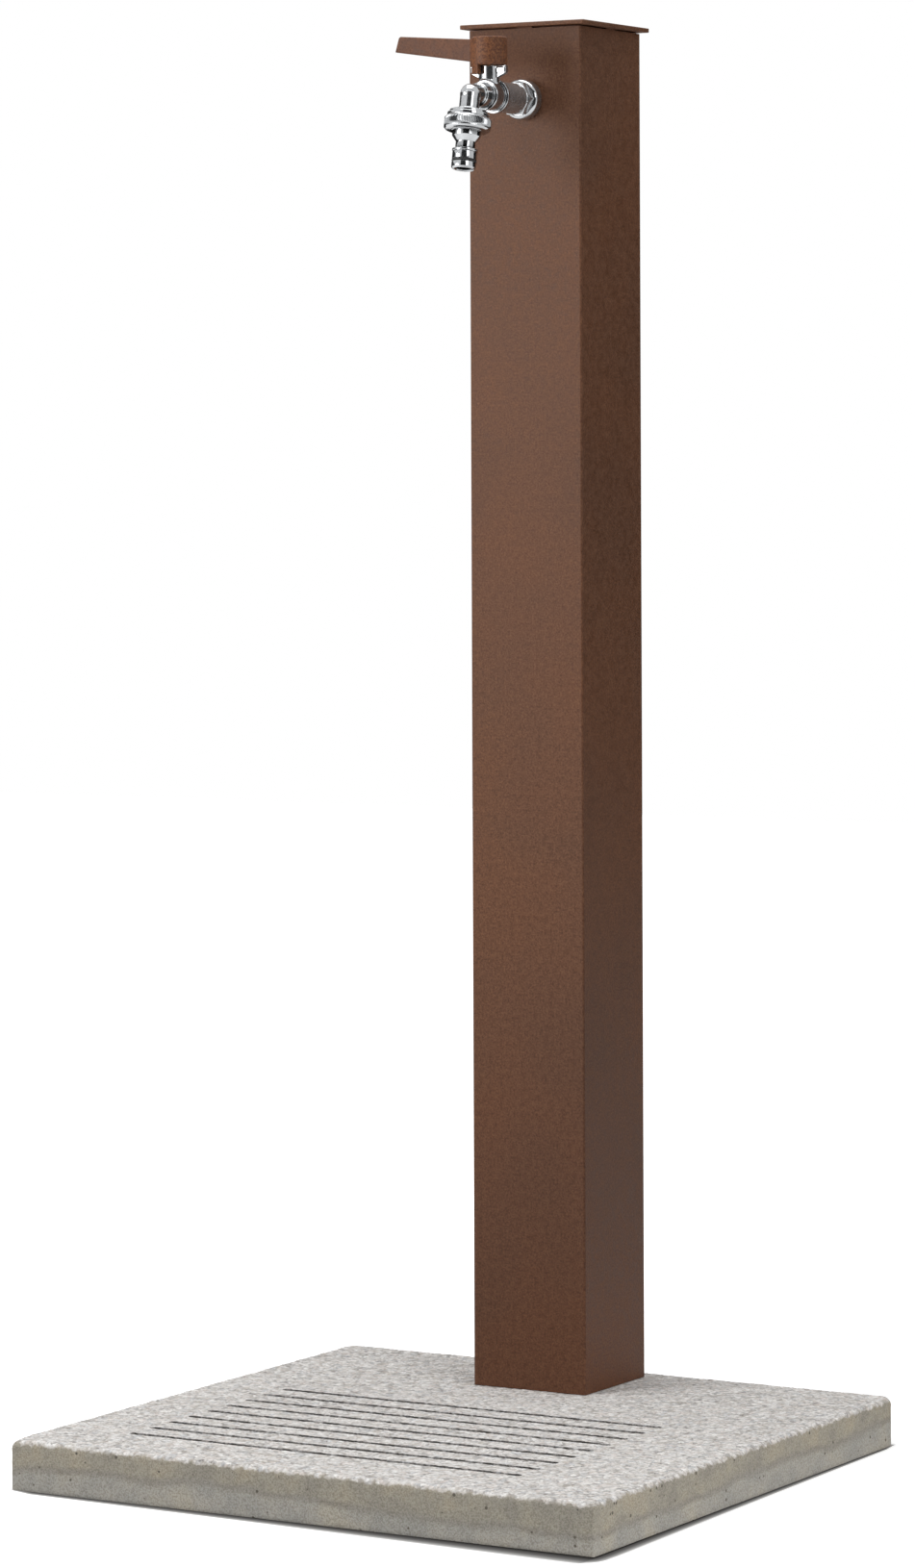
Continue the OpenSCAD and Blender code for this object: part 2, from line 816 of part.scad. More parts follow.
// Hose adapter: ring nut, nozzle with the grip groove, and the plug for a hose connector
module hose_adapter() {
    groove_r = plug_r + seal_proud - 2 * seal_wire_r;
    color(chrome) along_spout() rotate_extrude() polygon([
        [hose_thread_r + play, adapter_top], [ring_r - ring_bevel, adapter_top],
        [ring_r, adapter_top + ring_bevel], [ring_r, ring_end - ring_bevel],
        [ring_r - ring_bevel, ring_end], [nozzle_r, ring_end],
        [nozzle_r, nozzle_end - cone_len], [grip_r, nozzle_end], [grip_r, grip_end],
        [lip_r, grip_end], [lip_r, lip_end], [plug_r, lip_end],
        [plug_r, plug_end], [groove_r, plug_end], [groove_r, tip_from],
        [plug_r, tip_from], [plug_r, tip_end - tip_bevel], [plug_r - tip_bevel, tip_end],
        [adapter_way_r, tip_end], [adapter_way_r, adapter_floor],
        [hose_thread_r + play, adapter_floor]]);
}

module nozzle_oring() {
    color("#1d1d1d") along_spout() translate([0, 0, (plug_end + tip_from) / 2])
        rotate_extrude() translate([plug_r + seal_proud - seal_wire_r, 0])
            circle(r = seal_wire_r, $fn = 32);
}

module adapter_seal() {
    from = thread_end + face_gap / 2;
    color("#1d1d1d") along_spout() tube(hose_thread_r - 2 * play, adapter_way_r + adapter_seal_step,
        from, from + adapter_seal_t);
}

base_slab();
foot_plate();
foot_weld_nuts();
slab_bolts();
slab_bolt_washers();
column_tube();
cap_plate();
cap_collar();
cap_screws();
inlet_elbow();
inlet_seal();
inlet_lock_nut();
riser_pipe();
lower_compression_nut();
lower_olive();
upper_compression_nut();
upper_olive();
outlet_elbow();
outlet_seal();
wall_rosette();
tap_tail();
tap_body();
front_seat();
rear_seat();
valve_ball();
valve_stem();
stem_orings();
lever_handle();
lever_screw();
hose_adapter();
nozzle_oring();
adapter_seal();
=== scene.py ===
import json
import math
from functools import partial
from itertools import product

import bmesh
import bpy
import numpy as np
from mathutils import Matrix, Vector, geometry


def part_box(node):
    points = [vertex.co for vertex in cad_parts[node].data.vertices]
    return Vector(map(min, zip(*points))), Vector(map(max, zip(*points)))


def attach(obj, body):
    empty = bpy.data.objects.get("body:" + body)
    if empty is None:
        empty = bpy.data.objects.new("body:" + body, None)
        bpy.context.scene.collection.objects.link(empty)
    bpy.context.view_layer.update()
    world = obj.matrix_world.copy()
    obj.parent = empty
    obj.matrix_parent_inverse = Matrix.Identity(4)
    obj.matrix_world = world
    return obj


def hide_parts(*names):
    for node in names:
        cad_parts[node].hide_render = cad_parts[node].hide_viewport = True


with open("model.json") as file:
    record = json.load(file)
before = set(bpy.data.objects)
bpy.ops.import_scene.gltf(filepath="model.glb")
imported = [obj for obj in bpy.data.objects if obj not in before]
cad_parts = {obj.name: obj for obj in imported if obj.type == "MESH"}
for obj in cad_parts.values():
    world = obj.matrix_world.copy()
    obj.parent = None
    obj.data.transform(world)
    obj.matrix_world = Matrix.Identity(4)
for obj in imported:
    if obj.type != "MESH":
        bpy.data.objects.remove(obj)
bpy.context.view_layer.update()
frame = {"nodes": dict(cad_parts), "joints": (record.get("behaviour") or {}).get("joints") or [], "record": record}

# Sizes of the object are in millimetres. The stage and its camera are in metres.
MM = 0.001
RECORD = frame["record"]


def box_mm(node):
    """Lowest and highest corner of a CAD node in millimetres."""
    return np.array(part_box(node)) / MM


# Places that the frame gives
slab_low, slab_high = box_mm("base_slab")
column_low, column_high = box_mm("column_tube")
cap_low, cap_high = box_mm("cap_plate")
rosette_low, rosette_high = box_mm("wall_rosette")
tail_low, tail_high = box_mm("tap_tail")
body_low, body_high = box_mm("tap_body")
lever_low, lever_high = box_mm("lever_handle")
lock_nut_low, lock_nut_high = box_mm("inlet_lock_nut")
inlet_low, inlet_high = box_mm("inlet_elbow")

OUT = np.array([0.0, -1.0, 0.0])
SIDE, _, UP = np.eye(3)
TAP_X, _, TAP_Z = (rosette_low + rosette_high) / 2
WALL_Y = column_low[1]
STEM = next(np.array(j["pos_m"]) / MM for j in frame["joints"] if j["name"] == "lever_turn")
STEM_REACH = WALL_Y - STEM[1]
PLUG = next(m for m in RECORD["mounts"] if m["name"] == "hose_plug")
PLUG_MIDDLE, DOWN = np.array(PLUG["pos_m"]) / MM, np.array(PLUG["axis"])

# A line is a point and a direction. The tap's starts in the wall's front face and runs outwards,
# and the spout's and the stem's start on it.
TAP = np.array([TAP_X, WALL_Y, TAP_Z])
ELBOW = PLUG_MIDDLE + DOWN * (TAP_Z - PLUG_MIDDLE[2]) / DOWN[2]
SPOUT_REACH = WALL_Y - ELBOW[1]
STEM_FOOT = TAP + OUT * STEM_REACH
tap, spout, stem = (TAP, OUT), (ELBOW, DOWN), (STEM_FOOT, UP)

# Pipe threads of 1/2 and 3/4 inch have the same pitch. A nut's corners are turned off at 30°.
THREAD_PITCH = 1.81
NUT_BEVEL = 1.73


# Distances to simple solids, for arrays of points in millimetres

def along(points, line):
    """Height along a line and distance from it."""
    base, axis = line
    rel = points - base
    height = rel @ axis
    return height, np.linalg.norm(rel - height[:, None] * axis, axis=1)


def past(height, start, end):
    """Distance past the nearer end of a stretch, negative within it."""
    return np.maximum(start - height, height - end)


def corner_of(a, b, round_r):
    """Intersection of two distances with a round outer edge."""
    a, b = a + round_r, b + round_r
    return np.minimum(np.maximum(a, b), 0) + np.hypot(np.maximum(a, 0), np.maximum(b, 0)) - round_r


def taper(points, line, r_start, r_end, start, end, round_r=0.0):
    """A cone's slice with softened ends."""
    height, radial = along(points, line)
    slope = (r_end - r_start) / (end - start)
    side = (radial - r_start - (height - start) * slope) / math.hypot(1, slope)
    return corner_of(side, past(height, start, end), round_r)


def rod(points, line, r, start, end, round_r=0.0):
    return taper(points, line, r, r, start, end, round_r)


def ball(points, centre, r):
    return np.linalg.norm(points - centre, axis=1) - r


def brick(points, centre, half, round_r):
    """A rounded box."""
    rel = np.abs(points - centre) - (np.array(half) - round_r)
    return np.linalg.norm(np.maximum(rel, 0), axis=1) + np.minimum(rel.max(axis=1), 0) - round_r


def hexagon(points, line, across, start, end, round_r):
    """A hexagonal rod with a corner to the side."""
    base, axis = line
    rel = points - base
    u, v = rel @ SIDE, rel @ np.cross(axis, SIDE)
    flats = [u * math.cos(a) + v * math.sin(a) for a in np.radians(range(30, 390, 60))]
    return corner_of(np.max(flats, axis=0) - across / 2, past(rel @ axis, start, end), round_r)


def nut_bevel(radial, across, depth):
    """The cone that turns a nut's corners off, by the depth below its face. Half of the
    difference is near enough the true distance at 30°."""
    return (radial - across / 2 - depth * NUT_BEVEL) * 0.5


def polygon_distance(u, v, outline):
    """Signed distance in a plane to a closed outline, negative inside."""
    best = np.full(u.shape, 1e9)
    inside = np.zeros(u.shape, bool)
    for (ax, ay), (bx, by) in zip(outline, outline[1:] + outline[:1]):
        ex, ey = bx - ax, by - ay
        t = np.clip(((u - ax) * ex + (v - ay) * ey) / (ex * ex + ey * ey), 0, 1)
        best = np.minimum(best, np.hypot(u - ax - ex * t, v - ay - ey * t))
        crosses = (ay > v) != (by > v)
        if ey:
            inside ^= crosses & (u < (v - ay) * ex / ey + ax)
    return np.where(inside, -best, best)


def blend(a, b, width):
    """Union of two distances with a fillet."""
    share = np.clip(0.5 + 0.5 * (b - a) / width, 0, 1)
    return b * (1 - share) + a * share - width * share * (1 - share)


def union(*distances):
    return np.minimum.reduce(distances)


def cut(solid, *holes):
    return np.maximum.reduce([solid, *[-h for h in holes]])


def thread(points, line, r, start, end, depth):
    """A rod with a screw thread: its crest is at r, and it starts and ends in a bevel."""
    half_groove, flank = 1.15, 4.0
    base, axis = line
    height, radial = along(points, line)
    rel = points - base
    angle = np.arctan2(rel @ np.cross(axis, SIDE), rel @ SIDE)
    phase = (height / THREAD_PITCH - angle / (2 * math.pi)) % 1
    groove = depth * np.clip(half_groove - np.abs(phase - 0.5) * flank, 0, 1)
    bevel = np.clip(depth - np.minimum(height - start, end - height), 0, depth)
    # The factor keeps the distance from changing faster than the place does, on the steep flanks.
    side = (radial - r + np.maximum(groove, bevel)) * 0.75
    return np.maximum(side, past(height, start, end))


# Meshes

def in_scene(name, data):
    """A new object in the scene."""
    thing = bpy.data.objects.new(name, data)
    bpy.context.scene.collection.objects.link(thing)
    return thing


def finish_mesh(name, vertices, faces, normals=None, sharp=None):
    """An object in metres from vertices in millimetres."""
    mesh = bpy.data.meshes.new(name)
    mesh.from_pydata((np.asarray(vertices) * MM).tolist(), [], faces)
    mesh.update()
    mesh.shade_smooth()
    if normals is not None:
        mesh.normals_split_custom_set(normals.tolist())
    if sharp is not None:
        mesh.set_sharp_from_angle(angle=math.radians(sharp))
    return in_scene(name, mesh)


def slope_of(distance, points):
    """Unit gradient of a distance function."""
    tiny = 0.01
    slope = np.stack([distance(points + step) - distance(points - step) for step in tiny * np.eye(3)], axis=1)
    return slope / np.maximum(np.linalg.norm(slope, axis=1, keepdims=True), 1e-9)


def carve(name, distance, low, high, step):
    """Mesh of the surface where distance is zero, by dual contouring on a grid of that step."""
    quick_factor, margin, batch, pull, slack, inwards = 1.6, 1.5, 400000, 0.06, 0.1, 0.2
    low, high = low - margin * step, high + margin * step
    axes = [np.arange(a, b + step, step) for a, b in zip(low, high)]
    size = [len(a) for a in axes]
    grid = np.stack(np.meshgrid(*axes, indexing="ij"), axis=-1).reshape(-1, 3)
    parts = np.array_split(grid, 1 + len(grid) // batch)
    value = np.concatenate([distance(part) for part in parts]).reshape(size)
    inside = value < 0
    count = sum(inside[tuple(slice(o, o + n - 1) for o, n in zip(offset, size))].astype(np.int8)
                for offset in product((0, 1), repeat=3))
    where = np.argwhere((count > 0) & (count < 8))
    index = np.full(count.shape, -1)
    index[tuple(where.T)] = np.arange(len(where))
    base = low + where * step

    # Each cell's vertex is the point nearest to the tangent planes where its edges cross. A weak
    # pull to their mean place steadies it, and it may leave its cell by a little slack only.
    matrix, crossings = np.zeros((len(where), 3, 3)), np.zeros(len(where))
    target, mass = np.zeros((len(where), 3)), np.zeros((len(where), 3))
    for axis in range(3):
        for pair in product((0, 1), repeat=2):
            start, end = np.insert(pair, axis, 0), np.insert(pair, axis, 1)
            at_start = value[tuple((where + start).T)]
            at_end = value[tuple((where + end).T)]
            hit = np.flatnonzero((at_start < 0) != (at_end < 0))
            share = at_start[hit] / (at_start[hit] - at_end[hit])
            point = base[hit] + step * (start + share[:, None] * (end - start))
            normal = slope_of(distance, point)
            point = point - normal * distance(point)[:, None]
            matrix[hit] += normal[:, :, None] * normal[:, None, :]
            target[hit] += normal * np.sum(normal * point, axis=1, keepdims=True)
            mass[hit] += point
            crossings[hit] += 1
    mass /= crossings[:, None]
    matrix += pull * np.eye(3)
    target += pull * mass
    vertices = np.linalg.solve(matrix, target[:, :, None])[:, :, 0]
    vertices = np.clip(vertices, base - slack * step, base + (1 + slack) * step)

    # A quad lies round each grid edge that crosses the surface.
    faces = []
    for axis in range(3):
        trim = [slice(1, -1)] * 3
        trim[axis] = slice(None, -1)
        shifted = list(trim)
        shifted[axis] = slice(1, None)
        a, b = inside[tuple(trim)], inside[tuple(shifted)]
        spot = np.argwhere(a != b)
        leaving = a[tuple(spot.T)]
        one, two = np.roll(np.eye(3, dtype=int), -1 - axis, axis=0)[:2]
        quad = np.stack([index[tuple((spot + ahead).T)] for ahead in (0, one, one + two, two)], axis=1)
        quad[~leaving] = quad[~leaving][:, ::-1]
        faces.append(quad)
    faces = np.concatenate(faces)

    # Normals are taken a little inwards of each face's corners, so that edges stay crisp.
    middle = vertices[faces].mean(axis=1)
    near = vertices[faces] * (1 - inwards) + middle[:, None, :] * inwards
    normals = slope_of(distance, near.reshape(-1, 3))
    return finish_mesh(name, vertices, faces.tolist(), normals)


def soften(outline, r, steps):
    """A closed outline of points with its corners rounded to r, as far as its sides allow.
    A point is (u, v), or (u, v, radius) where its corner has a radius of its own."""
    most_of_side, nearly_straight = 0.45, math.radians(84)
    soft = []
    for before, here, after in zip(outline[-1:] + outline[:-1], outline, outline[1:] + outline[:1]):
        a, b, c = (np.array(p[:2], float) for p in (before, here, after))
        own_r = here[2] if len(here) > 2 else r
        to_a, to_c = np.linalg.norm(a - b), np.linalg.norm(c - b)
        u, v = (a - b) / to_a, (c - b) / to_c
        half = math.acos(max(-1, min(1, float(u @ v)))) / 2
        if half > nearly_straight:
            soft.append(tuple(b))
            continue
        cut_off = min(own_r / math.tan(half), min(to_a, to_c) * most_of_side)
        p, q = b + u * cut_off, b + v * cut_off
        for i in range(steps + 1):
            t = i / steps
            soft.append(tuple((1 - t) ** 2 * p + 2 * t * (1 - t) * b + t ** 2 * q))
    return soft


def turn_shape(name, outline, line, steps, relief=None):
    """A lathe: a closed outline of (radius, height) points turned round a line.
    relief(radius, height, angle) may change the radius, for a knurl."""
    base, axis = line
    radius, height = np.array(outline).T
    angle = np.arange(steps) * 2 * math.pi / steps
    r = np.repeat(radius[None, :], steps, axis=0)
    if relief:
        r = relief(r, height[None, :], angle[:, None])
    ring = np.cos(angle)[:, None, None] * SIDE + np.sin(angle)[:, None, None] * np.cross(axis, SIDE)
    points = base + height[None, :, None] * axis + r[:, :, None] * ring
    here = np.arange(r.size).reshape(r.shape)
    after = np.roll(here, -1, axis=0)
    faces = np.stack([here, after, np.roll(after, -1, axis=1), np.roll(here, -1, axis=1)], axis=-1)
    thing = finish_mesh(name, points.reshape(-1, 3), faces.reshape(-1, 4).tolist(), sharp=30)

    # All faces turn outwards
    work = bmesh.new()
    work.from_mesh(thing.data)
    bmesh.ops.remove_doubles(work, verts=work.verts, dist=1e-7)
    bmesh.ops.recalc_face_normals(work, faces=work.faces)
    work.to_mesh(thing.data)
    work.free()
    return thing


# Materials

def linear(hex_colour):
    """An sRGB hex colour as linear red, green, blue and alpha."""
    parts = [int(hex_colour[i:i + 2], 16) / 255 for i in (1, 3, 5)]
    return tuple([c / 12.92 if c <= 0.04045 else ((c + 0.055) / 1.055) ** 2.4 for c in parts] + [1.0])


def add_node(tree, kind, *values, stops=(), out=None, **named):
    """Adds a shader node and returns its first output in use, or the one called out. Values go
    to its inputs in their order, and a name with a capital is an input too, with _ for a space.
    The other names are settings. Stops are a colour ramp's (position, hex colour) pairs."""
    made = tree.nodes.new("ShaderNode" + kind)
    for key in filter(str.islower, named):
        setattr(made, key, named[key])
    filled = list(zip([socket for socket in made.inputs if socket.enabled], values))
    filled += [(made.inputs[key.replace("_", " ")], named[key]) for key in named if not key.islower()]
    for socket, value in filled:
        if isinstance(value, bpy.types.NodeSocket):
            tree.links.new(value, socket)
        else:
            socket.default_value = linear(value) if isinstance(value, str) else value
    if stops:
        points = made.color_ramp.elements
        while len(points) < len(stops):
            points.new(0.5)
        for point, (position, colour) in zip(points, stops):
            point.position, point.color = position, linear(colour)
    return made.outputs[out] if out else next((s for s in made.outputs if s.enabled), None)


# Settings of a Mix node for two colours, and for a colour tinted by another
COLOURS = {"data_type": "RGBA"}
TINT = {**COLOURS, "blend_type": "MULTIPLY"}


def per_mm(size):
    """The scale of a texture whose features are that many millimetres wide."""
    return 1 / (size * MM)


def clear_nodes(owner):
    """Empties the nodes of a material or the world, and returns the function that adds to them."""
    owner.use_nodes = True
    owner.node_tree.nodes.clear()
    return partial(add_node, owner.node_tree)


def new_finish(name, recipe, *values):
    """A material whose shader a recipe makes from nodes, with the place on the object in metres."""
    finish = bpy.data.materials.new(name)
    add = clear_nodes(finish)
    add("OutputMaterial", recipe(add, add("TexCoord", out="Object"), *values))
    return finish


def textured_powder_coat(add, place, dark, middle, light, speck, speck_from, speck_reach=None):
    """Fine-textured polyester powder coat baked on steel: matt, sandy and mottled in rust brown,
    so that it looks like weathered steel, and darkened towards the ground as painted shade. The
    sand is drawn at 1.5 mm, coarser than it is. With speck_reach, bright specks show only that
    near the stem, on the hub that hands rub."""
    shade_from, shade_to = 0.05, 0.4
    cloud = add("TexNoise", place, per_mm(110), Detail=3, Roughness=0.6)
    mottle = add("TexNoise", place, per_mm(4.5), Detail=4, Roughness=0.65)
    sand = add("TexNoise", place, per_mm(1.5), Detail=2, Roughness=0.75)
    colour = add("ValToRGB", mottle, stops=[(0.36, dark), (0.5, middle), (0.64, light)])
    grain = add("ValToRGB", sand, stops=[(0.34, "#ccc4bf"), (0.47, "#f0ebe8"), (0.6, "#ffffff")])
    colour = add("Mix", 1.0, colour, grain, **TINT)
    specks = add("MapRange", sand, speck_from, speck_from + 0.06)
    if speck_reach:
        away = add("VectorMath", place, tuple(STEM * MM), operation="SUBTRACT")
        away = add("VectorMath", away, (1, 1, 0), operation="MULTIPLY")
        away = add("VectorMath", away, operation="LENGTH")
        near = add("MapRange", away, (speck_reach - 3) * MM, (speck_reach + 2) * MM, 1.0, 0.0)
        specks = add("Math", specks, near, operation="MULTIPLY")
    colour = add("Mix", specks, colour, speck, **COLOURS)
    shade = add("ValToRGB", cloud, stops=[(0.38, "#eae7e6"), (0.5, "#f3eeea"), (0.62, "#f9f1e8")])
    colour = add("Mix", 1.0, colour, shade, **TINT)
    # Painted shade: the coat is drawn darker towards the ground
    low = add("MapRange", add("SeparateXYZ", place, out="Z"), shade_from, shade_to)
    foot_shade = add("ValToRGB", low, stops=[(0.0, "#e2dedb"), (1.0, "#ffffff")])
    colour = add("Mix", 1.0, colour, foot_shade, **TINT)
    soft = add("Bump", Height=mottle, Strength=0.25, Distance=0.3 * MM)
    normal = add("Bump", Height=sand, Strength=0.4, Distance=0.25 * MM, Normal=soft)
    gloss = add("MapRange", mottle, 0.35, 0.65, 0.5, 0.62)
    return add("BsdfPrincipled", Base_Color=colour, Roughness=gloss, Normal=normal, Metallic=0.0,
               Specular_IOR_Level=0.28)


def washed_concrete(add, place):
    """Cast concrete: smooth sides from the mould, with a seam, sand and air holes, and a top washed
    out to its gravel, with painted shade in its slots. The gravel is drawn at 3.6 mm to show."""
    seam_z, top = 15.5, slab_high[2]
    height = add("Math", add("SeparateXYZ", place, out="Z"), 1 / MM, operation="MULTIPLY")

    # Gravel: one tone for each stone, finer grit between, darker gaps
    stone = add("SeparateColor", add("TexVoronoi", place, per_mm(3.6), out="Color"))
    stone_gap = add("TexVoronoi", place, per_mm(3.6))
    gravel = add("ValToRGB", stone, stops=[
        (0.0, "#726e6a"), (0.1, "#bab5b0"), (0.3, "#d5d2cf"), (0.55, "#e3e0dc"), (0.74, "#cdc1b9"),
        (0.83, "#faf8f4"), (0.93, "#b1b2b4")])
    grit = add("SeparateColor", add("TexVoronoi", place, per_mm(1.6), out="Color"), out="Green")
    grit = add("ValToRGB", grit, stops=[
        (0.0, "#6a6663"), (0.1, "#b4b0ae"), (0.5, "#dbd9d7"), (0.85, "#ffffff")])
    gravel = add("Mix", 0.4, gravel, grit, **COLOURS)
    gravel = add("Mix", add("MapRange", stone_gap, 0.6, 0.85, 0.0, 0.6), gravel, "#857f7b", **COLOURS)

    # Sides: beige above the seam and greyer below it, in patches, with a darker streak at the seam
    wave = add("TexNoise", place, per_mm(90), Detail=2)
    level = add("Math", height, add("MapRange", wave, 0.3, 0.7, -4.5, 4.5), operation="ADD")
    stain = add("TexNoise", place, per_mm(30), Detail=4, Roughness=0.6)
    upper = add("ValToRGB", stain, stops=[(0.35, "#9f9a8f"), (0.5, "#aba597"), (0.65, "#b5ab98")])
    lower = add("ValToRGB", stain, stops=[(0.35, "#a9a7a1"), (0.5, "#b3afa7"), (0.65, "#b9b3a6")])
    side = add("Mix", add("MapRange", level, 11, 19), lower, upper, **COLOURS)
    above = add("Math", level, seam_z, operation="SUBTRACT")
    seam = add("MapRange", add("Math", above, operation="ABSOLUTE"), 0.6, 3.6, 0.48, 0.0)
    seam = add("Math", seam, add("MapRange", stain, 0.36, 0.56, 0.25), operation="MULTIPLY")
    side = add("Mix", seam, side, "#7d7a73", **COLOURS)
    sand = add("TexNoise", place, per_mm(1.2), Detail=2, Roughness=0.7)
    grain = add("ValToRGB", sand, stops=[(0.35, "#d2d0cc"), (0.6, "#ffffff")])
    side = add("Mix", 1.0, side, grain, **TINT)
    pit = add("TexVoronoi", place, per_mm(6))
    pit_r = add("SeparateColor", add("TexVoronoi", place, per_mm(6), out="Color"), out="Blue")
    hole = add("Math", pit, add("MapRange", pit_r, 0.62, 1.0, 0.0, 0.22), operation="LESS_THAN")
    side = add("Mix", hole, side, "#625c52", **COLOURS)

    # The washed top ends in a ragged line at the arris. Near it the gravel is browner and darker,
    # partly from soil rubbed into it and partly as painted shade
    rag = add("TexNoise", place, per_mm(6), Detail=3, Roughness=0.6)
    edge = add("Math", height, add("MapRange", rag, 0.3, 0.7, -1.8, 1.8), operation="ADD")
    washed = add("MapRange", edge, top - 3.2, top - 2.4)
    soil_and_shade = add("MapRange", edge, top - 2.8, top - 0.4, 0.6, 0.0)
    gravel = add("Mix", soil_and_shade, gravel, "#a59b8c", **COLOURS)
    colour = add("Mix", washed, side, gravel, **COLOURS)

    # Painted shade where the slots and hollows are deep, with a ragged edge
    hollow = add("AmbientOcclusion", Distance=15 * MM, out="AO", samples=8, only_local=True)
    ragged_shade = add("MapRange", rag, 0.4, 0.65, -0.08, 0.2)
    hollow = add("Math", hollow, ragged_shade, operation="ADD")
    unshaded = add("MapRange", hollow, 0.5, 0.78)
    colour = add("Mix", unshaded, "#3a3733", colour, **COLOURS)
    dome = add("MapRange", stone_gap, 0.0, 0.9, 1.0, 0.0)
    relief = add("Mix", washed, sand, dome)
    fine = add("Bump", Height=sand, Strength=0.4, Distance=0.3 * MM)
    normal = add("Bump", Height=relief, Strength=0.5, Distance=0.9 * MM, Normal=fine)
    return add("BsdfPrincipled", Base_Color=colour, Roughness=0.9, Normal=normal, Metallic=0.0)


def chrome_plate(add, place, mirror, roughness, corner_shade):
    """Bright chrome on brass: almost a mirror where the brass was polished, with faint waves and a
    film of lime that scatters the rest of the light, and darkened by painted shade in its bore and
    corners. The higher its last value is, the further the painted shade reaches out of them."""
    wave = add("TexNoise", place, per_mm(6), Detail=1)
    haze = add("TexNoise", place, per_mm(2.4), Detail=3, Roughness=0.6)
    colour = add("ValToRGB", haze, stops=[(0.3, "#b2b4b6"), (0.7, "#bfc1c3")])
    # Painted shade: the plate turns near black where it is enclosed, in its bore and corners
    hollow = add("AmbientOcclusion", Distance=24 * MM, out="AO", samples=8, only_local=True)
    bright = add("MapRange", hollow, corner_shade, corner_shade + 0.26)
    colour = add("Mix", bright, "#1c1c1e", colour, **COLOURS)
    gloss = add("MapRange", haze, 0.3, 0.7, roughness, roughness + 0.07)
    film = add("MapRange", haze, 0.3, 0.7, mirror + 0.04, mirror - 0.04)
    normal = add("Bump", Height=wave, Strength=0.12, Distance=0.1 * MM)
    return add("BsdfPrincipled", Base_Color=colour, Metallic=film, Roughness=gloss, Normal=normal)


def turned_metal(add, place, dark, light, roughness):
    """Plain metal as it comes off the lathe or the drawing bench: fine marks and a little dulling."""
    dull = add("TexNoise", place, per_mm(6), Detail=4, Roughness=0.6)
    stretched = add("Mapping", place, Scale=(1.0, 12.0, 12.0))
    marks = add("TexNoise", stretched, per_mm(3), Detail=2)
    colour = add("ValToRGB", dull, stops=[(0.3, dark), (0.7, light)])
    gloss = add("MapRange", dull, 0.3, 0.7, roughness, roughness + 0.14)
    normal = add("Bump", Height=marks, Strength=0.15, Distance=0.05 * MM)
    return add("BsdfPrincipled", Base_Color=colour, Metallic=1.0, Roughness=gloss, Normal=normal)


def moulded(add, place, dark, light, roughness):
    """Moulded rubber or plastic, or pressed fibre: matt, and faintly cloudy with use."""
    cloud = add("TexNoise", place, per_mm(2.5), Detail=3)
    colour = add("ValToRGB", cloud, stops=[(0.3, dark), (0.7, light)])
    gloss = add("MapRange", cloud, 0.3, 0.7, roughness, roughness + 0.15)
    normal = add("Bump", Height=cloud, Strength=0.15, Distance=0.08 * MM)
    return add("BsdfPrincipled", Base_Color=colour, Metallic=0.0, Roughness=gloss, Normal=normal)


FINISHES = {slot: new_finish(*recipe) for slot, recipe in {
    "slab": ("washed_concrete", washed_concrete),
    "column_paint": ("column_powder_coat", textured_powder_coat,
                     "#6a462e", "#734e37", "#7b563e", "#83593e", 0.6),
    "lever_paint": ("lever_powder_coat", textured_powder_coat,
                    "#674430", "#724c37", "#7b553f", "#ad7040", 0.5, 12),
    "chrome": ("polished_chrome", chrome_plate, 0.88, 0.06, 0.4),
    "handled_chrome": ("handled_chrome", chrome_plate, 0.95, 0.06, 0.62),
    "satin_chrome": ("satin_chrome", chrome_plate, 0.72, 0.12, 0.3),
    "brass": ("turned_brass", turned_metal, "#a8854a", "#c9a765", 0.26),
    "copper": ("drawn_copper", turned_metal, "#a5633f", "#c58562", 0.28),
    "zinc": ("zinc_plated_steel", turned_metal, "#9a9da0", "#b9bcbe", 0.34),
    "stainless": ("turned_stainless_steel", turned_metal, "#a8a9a8", "#c6c7c6", 0.24),
    "ptfe": ("sintered_ptfe", moulded, "#e4e4e0", "#f2f2ee", 0.4),
    "rubber": ("moulded_rubber", moulded, "#151515", "#262625", 0.45),
    "fibre": ("pressed_fibre", moulded, "#6d3022", "#8a4633", 0.75),
}.items()}
SLOT_OF = {row["node"]: row["material_slot"] for row in RECORD["subparts"]}
BODY_OF = {node: body for body, nodes in RECORD["behaviour"]["bodies"].items() for node in nodes}


def stand_in(thing, node, finish=None):
    """Gives a piece its node's finish, or one of its own, and its body, and hides the node."""
    thing.data.materials.clear()
    thing.data.materials.append(FINISHES[finish or SLOT_OF[node]])
    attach(thing, BODY_OF[node])
    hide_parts(node)


# Slab and cap

def ways(angles):
    """Unit vectors in a plane at angles in radians."""
    return np.stack([np.cos(angles), np.sin(angles)], axis=1)


def rounded_square(low, high, radii, spacing):
    """Points and outward normals round a rectangle seen from above. Radii are of the corners
    front right, back right, back left and front left, and don't change the number of points."""
    arc_steps = 8
    arcs = []
    for at_high, start, r in zip(((1, 0), (1, 1), (0, 1), (0, 0)), (-90, 0, 90, 180), radii):
        corner = np.where(at_high, high, low)
        inward = np.copysign(r, low + high - 2 * corner)
        way = ways(np.radians(start + 90 * np.arange(arc_steps + 1) / arc_steps))
        arcs.append((corner + inward + r * way, way))
    points, normals = [], []
    for (arc, way), (next_arc, _), side in zip(arcs, arcs[1:] + arcs[:1], [*(high - low)[::-1]] * 2):
        count = max(1, round(side / spacing))
        share = np.arange(1, count)[:, None] / count
        points += [arc, arc[-1] + (next_arc[0] - arc[-1]) * share]
        normals += [way, np.repeat(way[-1:], count - 1, axis=0)]
    return np.concatenate(points), np.concatenate(normals)


